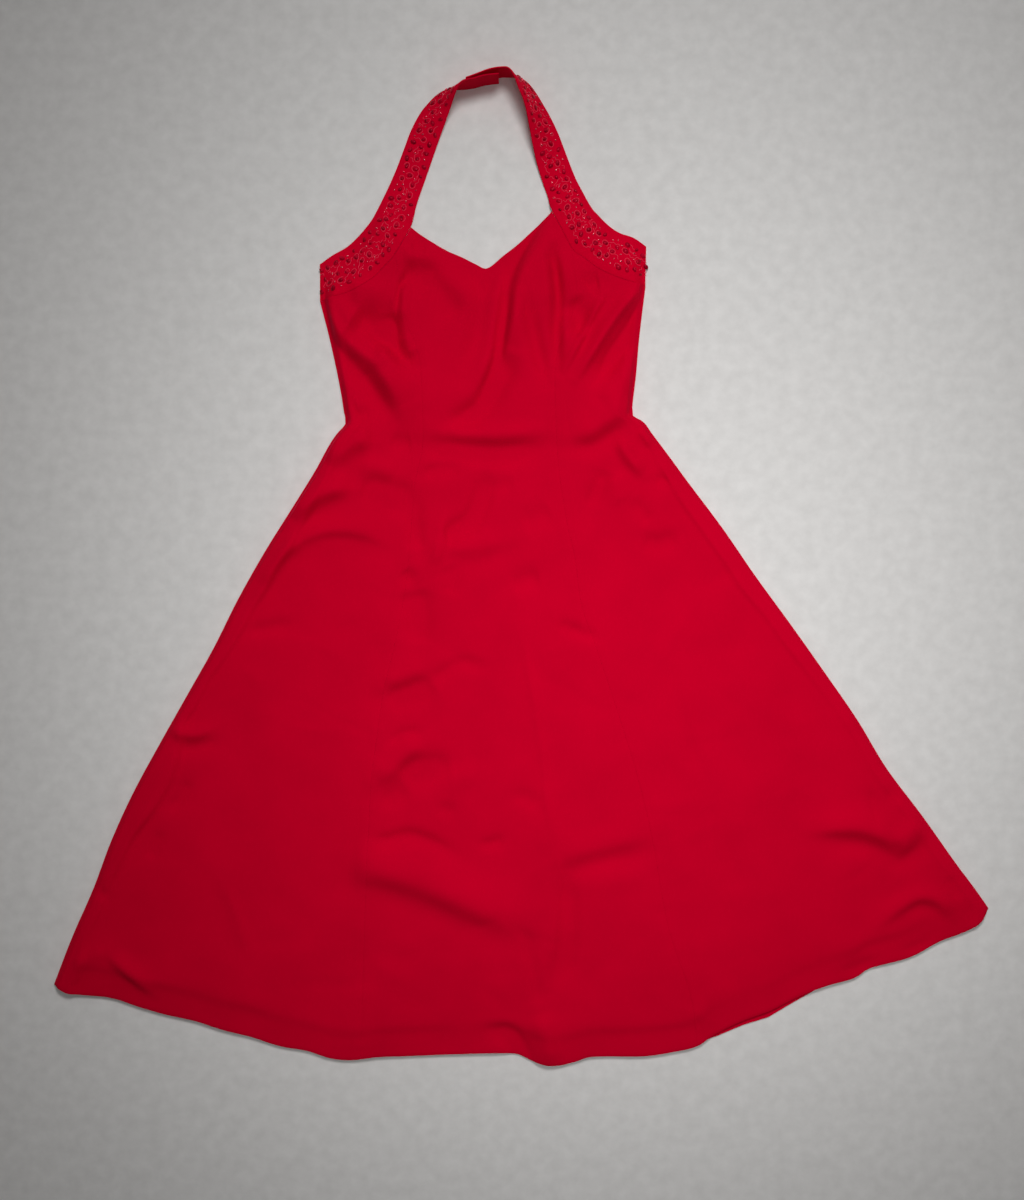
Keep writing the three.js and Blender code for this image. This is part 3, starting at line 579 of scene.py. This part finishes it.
def edge_down(line, top, waist, hem):
    """An edge running down a panel: its place at levels 0 band, 1 waist, 2 top of hem, 3 hem."""
    def place(level):
        y = np.where(level <= 1, lerp(top, waist, level), lerp(waist, hem + HEM_DEPTH, level - 1))
        y = np.where(level > 2, hem + HEM_DEPTH * (3 - level), y)
        return np.stack([line(y), y], -1)
    return place


# Edges of the panels, with the heights of their band seam, waist and hem
down_side_left = edge_down(side_left, 336.8, 183, -517)
down_princess_left = edge_down(princess_left, 393, 163, -609.5)
down_princess_right = edge_down(princess_right, 400.5, 163, -593.2)
down_side_right = edge_down(side_right, 355.5, 193, -422)
down_back_left = edge_down(side_left, 336.8, 183, -515)
down_back_seam = edge_down(back_seam, 309.3, 172, -601)
down_back_right = edge_down(side_right, 355.5, 193, -420)


class Band:
    """A band's outer and inner edges by section number, and its upper surface."""

    def __init__(self, rows, outer_first):
        self.last = len(rows) - 1
        self.outer = smooth_path([(r[0], r[1], 0) for r in rows])
        self.inner = smooth_path([(r[2], r[3], r[4]) for r in rows])
        self.outer_first = outer_first

    def middle(self, across, section):
        outer, inner = self.outer(section), self.inner(section)
        width = np.linalg.norm(outer - inner, axis=-1)
        kept = across * (1 - SEAM_GAP / width)
        point = outer + (inner - outer) * kept[..., None]
        on_body = 1 - smoothstep(section, NECK_SECTION, FREE_SECTION)
        laid = front_height(point[..., 0], point[..., 1])
        crown = BAND_CROWN * np.sin(math.pi * across) * (1 - on_body)
        point[..., 2] = lerp(point[..., 2] + crown, laid, on_body)
        return point

    def facing(self, across, section):
        before = np.maximum(section - SECTION_STEP, 0)
        after = np.minimum(section + SECTION_STEP, self.last)
        along = self.middle(across, after) - self.middle(across, before)
        width = self.inner(section) - self.outer(section)
        facing = np.cross(width, along)
        facing /= np.linalg.norm(facing, axis=-1, keepdims=True)
        if not self.outer_first:
            facing = -facing
        standing = smoothstep(section, NECK_SECTION, FREE_SECTION)[..., None]
        facing = lerp(np.array([0.0, 0.0, 1.0]), facing, standing)
        return facing / np.linalg.norm(facing, axis=-1, keepdims=True)

    def upper(self, across, section):
        """The outer face of the cloth, its edges turned under."""
        turned = bell(np.minimum(across, 1 - across) * BAND_WIDTH, TURNED_EDGE)
        raise_by = (BAND_CLOTH - TURNED_DIP * turned)[..., None]
        point = self.middle(across, section) + self.facing(across, section) * raise_by
        point[..., 2] = np.maximum(point[..., 2], LOWEST_BAND)
        return point


band_left = Band(BAND_LEFT, True)
band_right = Band(BAND_RIGHT, False)


def spread(count, crowd):
    """Places from 0 to 1, crowded towards both ends so that seams have fine edges."""
    t = np.linspace(0, 1, count + 1)
    return t - crowd * np.sin(2 * math.pi * t) / (2 * math.pi)


def panel_points(left, right, top, hem, across, levels, insets):
    """Places of a panel, drawn to its edges. insets: which of left and right is a sewn seam."""
    level, u = levels[:, None], across[None, :]
    at_left, at_right = left(levels)[:, None, :], right(levels)[:, None, :]
    point = at_left + (at_right - at_left) * u[..., None]
    first_left, first_right = left(np.array(0.0)), right(np.array(0.0))
    straight_top = first_left + (first_right - first_left) * across[:, None]
    top_pull = (1 - np.minimum(level, 1)) ** 2
    point += top_pull[..., None] * (top - straight_top)[None]
    last_left, last_right = left(np.array(3.0)), right(np.array(3.0))
    straight_hem = last_left + (last_right - last_left) * across[:, None]
    hem_pull = np.clip(level - 1, 0, 1) ** 3
    point[..., 1] += hem_pull * (hem(straight_hem[:, 0]) - straight_hem[:, 1])[None]
    point[..., 0] += SEWN_GAP / 2 * (insets[0] * (1 - u) - insets[1] * u)
    return point


# Grids of the pieces: columns, how far they crowd to the seams, and rows
SIDE_COLUMNS, SIDE_CROWD = 84, 0.55
CORNER_COLUMNS, NECK_COLUMNS_LEFT, NECK_COLUMNS_RIGHT = 8, 41, 37
BODICE_ROWS, SKIRT_ROWS, HEM_ROWS = 75, 204, 11
BACK_COLUMNS, BACK_CROWD = 24, 0.4
BACK_BODICE_ROWS, BACK_SKIRT_ROWS = 14, 24
BAND_COLUMNS, BAND_CROWD, BAND_ROWS = 24, 0.8, 239
BACK_BAND_COLUMNS, BACK_BAND_ROWS = 40, 8

LEVELS = np.concatenate([
    np.linspace(0, 1, BODICE_ROWS + 1)[:-1], np.linspace(1, 2, SKIRT_ROWS + 1)[:-1],
    np.linspace(2, 2.94, HEM_ROWS + 1), [2.97, 3.0],
])
BACK_LEVELS = np.concatenate([
    np.linspace(0, 1, BACK_BODICE_ROWS + 1)[:-1], np.linspace(1, 2, BACK_SKIRT_ROWS + 1),
    [2.5, 3.0],
])


def side_top(band, rising, across):
    section = PRINCESS_SECTION * (across if rising else 1 - across)
    return band.inner(section)[:, :2]


def middle_columns():
    """Places across the middle panel and its top edge: band seam, neck edge, band seam."""
    corner = np.linspace(PRINCESS_SECTION, NECK_SECTION, CORNER_COLUMNS + 1)
    left, right = band_left.inner(corner)[:, :2], band_right.inner(corner)[::-1, :2]
    x = np.concatenate([
        np.linspace(left[-1][0], NECK_POINT_X, NECK_COLUMNS_LEFT + 1)[1:],
        np.linspace(NECK_POINT_X, right[0][0], NECK_COLUMNS_RIGHT + 1)[1:-1],
    ])
    top = np.concatenate([left, np.stack([x, neck_line(x)], -1), right])
    across = (top[:, 0] - top[0][0]) / (top[-1][0] - top[0][0])
    return across, top


def laid_cloth(name, flat, z, material, thickness):
    """A sheet of cloth whose upper face lies at z over its places in plan."""
    z = np.broadcast_to(z, flat.shape[:2])
    points = np.concatenate([flat, z[..., None]], -1)
    return cloth_grid(name, points, flat, material, thickness)


def front_panel(name, left, right, top, across, insets, material):
    flat = panel_points(left, right, top, front_hem, across, LEVELS, insets)
    return laid_cloth(name, flat, front_surface(flat[..., 0], flat[..., 1]), material, SHELL)


def back_panel(name, left, right, rows, material):
    across = spread(BACK_COLUMNS, BACK_CROWD)
    lower = line_through(rows, 2)
    x = lerp(rows[0][0], rows[-1][0], across)
    top = np.stack([x, lower(x) - SEAM_GAP], -1)
    flat = panel_points(left, right, top, back_hem, across, BACK_LEVELS, (1, 1))
    return laid_cloth(name, flat, BACK_CLOTH, material, BACK_CLOTH)


def back_band(name, rows, material):
    upper, lower = line_through(rows, 1), line_through(rows, 2)
    first, last = rows[0][0] + SEAM_GAP / 2, rows[-1][0] - SEAM_GAP / 2
    x = np.linspace(first, last, BACK_BAND_COLUMNS + 1)
    down = np.linspace(0, 1, BACK_BAND_ROWS + 1)[:, None]
    y = lerp(upper(x)[None], lower(x)[None], down)
    flat = np.stack([np.broadcast_to(x, y.shape), y], -1)
    return laid_cloth(name, flat, BACK_CLOTH, material, BACK_CLOTH)


def lengths_along(points):
    """How far along a line of points each of them lies."""
    run = np.linalg.norm(np.diff(points, axis=0), axis=-1)
    return np.concatenate([[0], np.cumsum(run)])


def front_band(name, band, material):
    across = spread(BAND_COLUMNS, BAND_CROWD)
    if not band.outer_first:
        across = across[::-1]
    section = np.linspace(band.last, 0, BAND_ROWS + 1)
    u, s = np.meshgrid(across, section)
    points = band.upper(u, s)
    along = lengths_along(points[:, BAND_COLUMNS // 2])
    uv = np.stack([u * BAND_WIDTH, np.broadcast_to(along[:, None], u.shape)], -1)
    return cloth_grid(name, points, uv, material, BAND_CLOTH - BAND_CLEARANCE)


# ---- finishes ----

def new_material(name):
    material = bpy.data.materials.new(name)
    material.use_nodes = True
    return material, material.node_tree, material.node_tree.nodes["Principled BSDF"]


def set_inputs(node, values):
    for name, value in values.items():
        node.inputs[name].default_value = value


def places(tree, coordinates="Object"):
    return tree.nodes.new("ShaderNodeTexCoord").outputs[coordinates]


def noise(tree, place, scale, **others):
    """Noise at a place. others are its further settings, as Blender names them."""
    texture = tree.nodes.new("ShaderNodeTexNoise")
    set_inputs(texture, {"Scale": scale, **{key.title(): val for key, val in others.items()}})
    tree.links.new(place, texture.inputs["Vector"])
    return texture.outputs["Fac"]


def shade(tree, amount, dark, light, low, high, shader):
    """Colour the shader from dark to light as amount runs from low to high."""
    ramp = tree.nodes.new("ShaderNodeValToRGB")
    ramp.color_ramp.elements[0].position = low
    ramp.color_ramp.elements[0].color = (*dark, 1)
    ramp.color_ramp.elements[1].position = high
    ramp.color_ramp.elements[1].color = (*light, 1)
    tree.links.new(amount, ramp.inputs["Fac"])
    tree.links.new(ramp.outputs["Color"], shader.inputs["Base Color"])


def bump(tree, height, strength, distance, onto):
    relief = tree.nodes.new("ShaderNodeBump")
    set_inputs(relief, {"Strength": strength, "Distance": distance})
    tree.links.new(height, relief.inputs["Height"])
    tree.links.new(relief.outputs["Normal"], onto.inputs["Normal"])
    return relief


def crepe(name, light, dark, coordinates):
    """Matte crepe: a pebbled twist in the weave, slightly uneven dye and a soft sheen."""
    material, tree, cloth = new_material(name)
    place = places(tree, coordinates)

    stretch = tree.nodes.new("ShaderNodeMapping")
    stretch.inputs["Scale"].default_value = (1.0, 0.35, 1.0)
    tree.links.new(place, stretch.inputs["Vector"])
    slub = noise(tree, stretch.outputs["Vector"], 420, detail=4)
    clouds = noise(tree, place, 14, detail=4)
    blend = tree.nodes.new("ShaderNodeMath")
    blend.operation = "MULTIPLY_ADD"
    blend.inputs[1].default_value = 0.35
    tree.links.new(slub, blend.inputs[0])
    tree.links.new(clouds, blend.inputs[2])
    shade(tree, blend.outputs[0], dark, light, 0.4, 0.95, cloth)

    pebble = noise(tree, place, 1500, detail=3, roughness=0.6)
    crinkle = noise(tree, place, 95, detail=5, distortion=0.4)
    soft = bump(tree, crinkle, strength=0.0085, distance=0.0012, onto=cloth)
    bump(tree, pebble, strength=0.35, distance=0.0003, onto=soft)

    set_inputs(cloth, {
        "Roughness": 0.85,
        "Specular IOR Level": 0.05,
        "Specular Tint": (1.0, 0.0, 0.08, 1),
        "Sheen Weight": 0.25,
        "Sheen Roughness": 0.4,
        "Sheen Tint": (1.0, 0.0, 0.1, 1),
    })
    return material


def glassy(name, light, dark, roughness, gloss, lining):
    """Glass beads whose colour differs from bead to bead, with a gloss or a silver lining."""
    material, tree, bead = new_material(name)
    change = noise(tree, places(tree), 160)
    shade(tree, change, dark, light, 0.38, 0.62, bead)
    set_inputs(bead, {
        "Roughness": roughness,
        "Metallic": lining,
        "Specular Tint": (1.0, 0.02, 0.1, 1),
        "Coat Weight": gloss,
        "Coat Roughness": 0.12,
    })
    return material


def twisted_cord(name, light, dark):
    """A thin twisted cord, a little shinier than the cloth under it, its colour painted darker in
    the grooves of the twist as shade.
    """
    material, tree, cord = new_material(name)
    twist = tree.nodes.new("ShaderNodeTexWave")
    twist.bands_direction = "DIAGONAL"
    set_inputs(twist, {"Scale": 420, "Distortion": 1.5})
    tree.links.new(places(tree), twist.inputs["Vector"])
    # Painted shade: the colour runs dark where the twist's bump is low, in its grooves, and light
    # on its ridges.
    shade(tree, twist.outputs["Fac"], dark, light, 0, 1, cord)
    bump(tree, twist.outputs["Fac"], strength=0.4, distance=0.0002, onto=cord)
    set_inputs(cord, {"Roughness": 0.5, "Specular Tint": (1.0, 0.12, 0.25, 1)})
    return material


def pale_floor(name):
    material, tree, floor = new_material(name)
    grain = noise(tree, places(tree), 60, detail=6)
    shade(tree, grain, (0.74, 0.725, 0.71), (0.82, 0.805, 0.79), 0.3, 0.7, floor)
    floor.inputs["Roughness"].default_value = 0.9
    return material


dress_crepe = crepe("dress_crepe", (0.65, 0.0, 0.022), (0.585, 0.0, 0.0198), "Object")
band_crepe = crepe("band_crepe", (0.72, 0.0, 0.0235), (0.6, 0.0, 0.0195), "UV")
bead_glass = glassy("bead_glass", (0.5, 0.0, 0.02), (0.26, 0.0, 0.01),
                    roughness=0.4, gloss=0.05, lining=0)
bugle_glass = glassy("bugle_glass", (1.0, 0.2, 0.28), (0.75, 0.04, 0.1),
                     roughness=0.25, gloss=0.6, lining=0.7)
couched_cord = twisted_cord("couched_cord", (0.95, 0.065, 0.13), (0.72, 0.02, 0.06))


# ---- beadwork ----

# Steps of a band's map, along it and across it
MAP_ALONG, MAP_ACROSS = 440, 32

# Plain cloth beside the beadwork on a narrow and a wide band; how far the beadwork goes round the
# fold at the dress's side, and how round and proud that is
NARROW_BAND, WIDE_BAND = 42, 55
NARROW_MARGIN, WIDE_MARGIN = 6.5, 9.8
ROUND_SIDE = 1.1
FOLD_ROUND, FOLD_PROUD = 1.4, 0.5

# Oval beads and bugles: spacing, lengths, and their half sizes and lift as shares of the length
BEAD_SPACING, BEAD_SPACING_CHANGE, BUGLE_SPACING = 11.5, (0.75, 1.15), 7.2
BEAD_LENGTHS, BUGLE_LENGTHS = (5.0, 7.8), (2.6, 3.8)
BEAD_SHAPE, BUGLE_SHAPE = (0.5, 0.36, 0.2), (0.5, 0.24, 0.22)
BEAD_LIFT, BUGLE_LIFT = 0.07, 0.16
SET_TRIES = 2500

# Couched cord: half its thickness, its room, its steps, its lift, its shortest run of steps; the
# share of beads that it loops, and how many start between beads
CORD_SIZE = 0.36
CORD_SPACING = 1.9
CORD_STEP = 0.7
CORD_LIFT = 0.15
CORD_FINENESS = 4
SHORTEST_CORD = 8
LOOPED = 0.85
WIGGLES = 900

# Its loops round a bead, and the waves that it runs off in
LOOP_ROOM, LOOP_SWEEP, LOOP_EXIT = (0.9, 2.0), (3.6, 5.6), (0.9, 1.5)
LOOP_STEPS, LOOP_SQUASH = 8, 0.25
WAVE_COUNTS, WAVE_DRIFT = (3, 8), 0.35
WAVE_PACES, WAVE_SWINGS = (1.7, 2.6), (0.9, 2.3)


class BandCloth:
    """A band's upper face as a fine map, so that beads can be set on it by length and width."""

    def __init__(self, band):
        sections = np.linspace(0, band.last, MAP_ALONG + 1)
        u, s = np.meshgrid(np.linspace(0, 1, MAP_ACROSS + 1), sections)
        self.points = band.upper(u, s)
        self.facings = band.facing(u, s)
        self.along = lengths_along(self.points[:, MAP_ACROSS // 2])
        self.length = self.along[-1]
        self.widths = np.linalg.norm(self.points[:, -1] - self.points[:, 0], axis=-1)

    def width(self, along):
        return float(np.interp(along, self.along, self.widths))

    def spot(self, along, across_mm):
        """Place, way along and facing at a length along the band and a width from its outer edge.

        Lengths below 0 go round the fold at the dress's side.
        """
        i = float(np.interp(along, self.along, np.arange(MAP_ALONG + 1)))
        j = np.clip(across_mm / self.width(along), 0, 1) * MAP_ACROSS
        i0, j0 = min(int(i), MAP_ALONG - 1), min(int(j), MAP_ACROSS - 1)
        a, b = i - i0, j - j0
        mix = ((1 - a) * (1 - b), (1 - a) * b, a * (1 - b), a * b)
        spots = ((i0, j0), (i0, j0 + 1), (i0 + 1, j0), (i0 + 1, j0 + 1))
        place = Vector(sum(m * self.points[s] for m, s in zip(mix, spots)))
        facing = Vector(sum(m * self.facings[s] for m, s in zip(mix, spots))).normalized()
        way = Vector(self.points[i0 + 1, j0] - self.points[i0, j0]).normalized()
        if along < 0:
            turn = math.pi / 2 * min(-along / FOLD_ROUND, 1)
            outward, up = -way, facing
            place = place + outward * FOLD_PROUD * math.sin(turn)
            place = place - up * FOLD_ROUND * (1 - math.cos(turn))
            facing = outward * math.sin(turn) + up * math.cos(turn)
            way = way * math.cos(turn) + up * math.sin(turn)
        return place, way, facing


def margin(width):
    """Plain cloth left beside the beadwork: less on the narrow strap than at the bust."""
    return lerp(NARROW_MARGIN, WIDE_MARGIN, float(smoothstep(width, NARROW_BAND, WIDE_BAND)))


def in_beadwork(cloth, along, across, stop):
    width = cloth.width(along)
    edge = margin(width)
    return -ROUND_SIDE < along < cloth.length - stop and edge < across < width - edge


def bead_layout(cloth, draw, stop):
    """Beads scattered over the band: length, width, size, whether a bugle, turn."""
    beads = []
    for number in range(2 * SET_TRIES):
        along = draw.uniform(-1, cloth.length - stop)
        across = draw.uniform(0, cloth.width(along))
        turn = draw.uniform(0, math.pi)
        is_bugle = number > SET_TRIES
        size = draw.uniform(*(BUGLE_LENGTHS if is_bugle else BEAD_LENGTHS))
        apart = BUGLE_SPACING
        if not is_bugle:
            apart = BEAD_SPACING * draw.uniform(*BEAD_SPACING_CHANGE)
        if not in_beadwork(cloth, along, across, stop):
            continue
        if all(math.hypot(b[0] - along, b[1] - across) > apart for b in beads):
            beads.append((along, across, size, is_bugle, turn))
    return beads


def set_beads(name, cloth, beads, bugles, material):
    """All the oval or all the long beads of one band, as one mesh."""
    shape, lift = (BUGLE_SHAPE, BUGLE_LIFT) if bugles else (BEAD_SHAPE, BEAD_LIFT)
    bm = bmesh.new()
    for along, across, size, is_bugle, turn in beads:
        if is_bugle != bugles:
            continue
        place, way, up = cloth.spot(along, across)
        side = up.cross(way).normalized()
        ahead = (way * math.cos(turn) + side * math.sin(turn)).normalized()
        turned = Matrix((ahead, up.cross(ahead), up)).transposed().to_4x4()
        sized = Matrix.Diagonal((*(size * share for share in shape), 1))
        at = Matrix.Translation(place + up * (size * lift))
        matrix = Matrix.Scale(MM, 4) @ at @ turned @ sized
        bmesh.ops.create_uvsphere(bm, u_segments=12, v_segments=7, radius=1, matrix=matrix)
    for face in bm.faces:
        face.smooth = True
    return add_piece(name, mesh_from(name, bm), material)


def round_bead(bead, draw):
    """A cord that loops round a bead and runs off waving."""
    along, across, size, _, turn = bead
    here = Vector((along, across))
    reach = size * 0.5 + draw.uniform(*LOOP_ROOM)
    start = draw.uniform(0, 2 * math.pi)
    sweep = draw.choice((-1, 1)) * draw.uniform(*LOOP_SWEEP)
    points = []
    for step in range(LOOP_STEPS + 1):
        angle = start + sweep * step / LOOP_STEPS
        squash = 1 - LOOP_SQUASH * math.sin(angle - turn) ** 2
        points.append(here + Vector((math.cos(angle), math.sin(angle))) * reach * squash)
    heading = start + sweep + math.copysign(draw.uniform(*LOOP_EXIT), sweep)
    return points + waving(points[-1], heading, draw)[1:]


def waving(start, heading, draw):
    """A cord waving from side to side, its heading drifting."""
    points = [start]
    side = draw.choice((-1, 1))
    for _ in range(draw.randint(*WAVE_COUNTS)):
        heading += draw.gauss(0, WAVE_DRIFT)
        pace = Vector((math.cos(heading), math.sin(heading))) * draw.uniform(*WAVE_PACES)
        swing = Vector((-math.sin(heading), math.cos(heading))) * side
        swing *= draw.uniform(*WAVE_SWINGS)
        points.append(points[-1] + pace + swing)
        points.append(points[-1] + pace * 0.5)
        side = -side
    return points


def cord_lines(cloth, beads, stop, draw):
    """Cords looped round the beads and waving between them, each ending before it meets another."""
    starts = [round_bead(bead, draw) for bead in beads if not bead[3] and draw.random() < LOOPED]
    for _ in range(WIGGLES):
        along = draw.uniform(0, cloth.length - stop)
        at = Vector((along, draw.uniform(0, cloth.width(along))))
        starts.append(waving(at, draw.uniform(0, 2 * math.pi), draw))
    taken = np.array([(b[0], b[1]) for b in beads])
    room = np.array([b[2] * (0.3 if b[3] else 0.42) + 0.5 for b in beads])
    lines = []
    for path in starts:
        smooth = smooth_path([tuple(p) for p in path])
        fine = smooth(np.linspace(0, len(path) - 1, CORD_FINENESS * len(path)))
        kept = []
        for place in fine:
            if kept and math.dist(kept[-1], place) < CORD_STEP:
                continue
            free = (np.hypot(*(taken - place).T) > room).all()
            if not (free and in_beadwork(cloth, *place, stop)):
                break
            kept.append(place)
        if len(kept) > SHORTEST_CORD:
            lines.append(np.array(kept))
            taken = np.concatenate([taken, kept])
            room = np.concatenate([room, np.full(len(kept), CORD_SPACING)])
    return lines


def couch_cord(name, cloth, lines, material):
    """Couched cords of one band: round tubes along their lines."""
    curve = bpy.data.curves.new(name, "CURVE")
    curve.dimensions = "3D"
    curve.bevel_depth = CORD_SIZE * MM
    curve.bevel_resolution = 1
    for flat in lines:
        line = curve.splines.new("POLY")
        line.points.add(len(flat) - 1)
        for point, (along, across) in zip(line.points, flat):
            place, _, up = cloth.spot(along, across)
            point.co = (*((place + up * CORD_LIFT) * MM), 1)
    holder = add_object(name + "_line", curve)
    shaped = holder.evaluated_get(bpy.context.evaluated_depsgraph_get())
    mesh = bpy.data.meshes.new_from_object(shaped)
    bpy.data.objects.remove(holder)
    bpy.data.curves.remove(curve)
    mesh.name = name
    mesh.materials.clear()
    for face in mesh.polygons:
        face.use_smooth = True
    return add_piece(name, mesh, material)


# ---- the dress ----

ROOT = "root"


def finish_piece(piece, node=None):
    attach(piece, ROOT)
    if node:
        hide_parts(node)


even = spread(SIDE_COLUMNS, SIDE_CROWD)
middle_across, middle_top = middle_columns()
panels = {
    "side_front_left": front_panel(
        "side_front_left_cloth", down_side_left, down_princess_left,
        side_top(band_left, True, even), even, (0, 1), dress_crepe),
    "centre_front": front_panel(
        "centre_front_cloth", down_princess_left, down_princess_right,
        middle_top, middle_across, (1, 1), dress_crepe),
    "side_front_right": front_panel(
        "side_front_right_cloth", down_princess_right, down_side_right,
        side_top(band_right, False, even), even, (1, 0), dress_crepe),
    "back_left": back_panel(
        "back_left_cloth", down_back_left, down_back_seam, BACK_BAND_LEFT, dress_crepe),
    "back_right": back_panel(
        "back_right_cloth", down_back_seam, down_back_right, BACK_BAND_RIGHT, dress_crepe),
}
bands = {
    "halter_band_left": front_band("halter_band_left_cloth", band_left, band_crepe),
    "halter_band_right": front_band("halter_band_right_cloth", band_right, band_crepe),
    "back_band_left": back_band("back_band_left_cloth", BACK_BAND_LEFT, band_crepe),
    "back_band_right": back_band("back_band_right_cloth", BACK_BAND_RIGHT, band_crepe),
}
for node, piece in {**panels, **bands}.items():
    finish_piece(piece, node)

# Each band's beadwork stops this far before the band's end behind the neck
beading = {}
for side, band, seed, stop in (("left", band_left, 3, 62), ("right", band_right, 4, 68)):
    cloth = BandCloth(band)
    draw = random.Random(seed)
    beads = bead_layout(cloth, draw, stop)
    lines = cord_lines(cloth, beads, stop, draw)
    beading[f"halter_band_{side}"] = [
        set_beads(f"beads_{side}", cloth, beads, False, bead_glass),
        set_beads(f"bugles_{side}", cloth, beads, True, bugle_glass),
        couch_cord(f"couched_cord_{side}", cloth, lines, couched_cord),
    ]
    for piece in beading[f"halter_band_{side}"]:
        finish_piece(piece)

# ---- floor, light and camera ----

FLOOR_DROP = 0.0003
PHOTO_LENGTH = 1.5
CAMERA_HEIGHT = 1.8
SENSOR = 36
ROOM_LIGHT = 0.1

bm = bmesh.new()
bmesh.ops.create_grid(bm, x_segments=1, y_segments=1, size=8)
bmesh.ops.translate(bm, vec=(0, 0, -FLOOR_DROP), verts=bm.verts)
floor = add_piece("floor", mesh_from("floor", bm), pale_floor("pale_floor"))


def area_light(name, place, aim, size, power, cone):
    data = bpy.data.lights.new(name, "AREA")
    data.shape = "DISK"
    data.size = size
    data.energy = power
    data.spread = math.radians(cone)
    light = add_object(name, data)
    light.location = place
    light.rotation_euler = (Vector(aim) - Vector(place)).to_track_quat("-Z", "Y").to_euler()


area_light("window", (0.22, 1.25, 1.82), (0.14, -0.4, 0), size=0.8, power=8.1, cone=98)
area_light("ceiling", (0.12, -0.14, 1.95), (0.12, -0.14, 0), size=0.6, power=1.3, cone=52)
world = bpy.data.worlds.new("soft_room")
world.use_nodes = True
sky = world.node_tree.nodes["Background"]
set_inputs(sky, {"Color": (1, 0.99, 0.98, 1), "Strength": ROOM_LIGHT})
bpy.context.scene.world = world
bpy.context.scene.view_settings.view_transform = "Standard"

camera_data = bpy.data.cameras.new("overhead")
camera_data.sensor_width = SENSOR
camera_data.lens = SENSOR * CAMERA_HEIGHT / PHOTO_LENGTH
camera = add_object("overhead", camera_data)
camera.location = (-0.0119, -0.037, CAMERA_HEIGHT)
bpy.context.scene.camera = camera
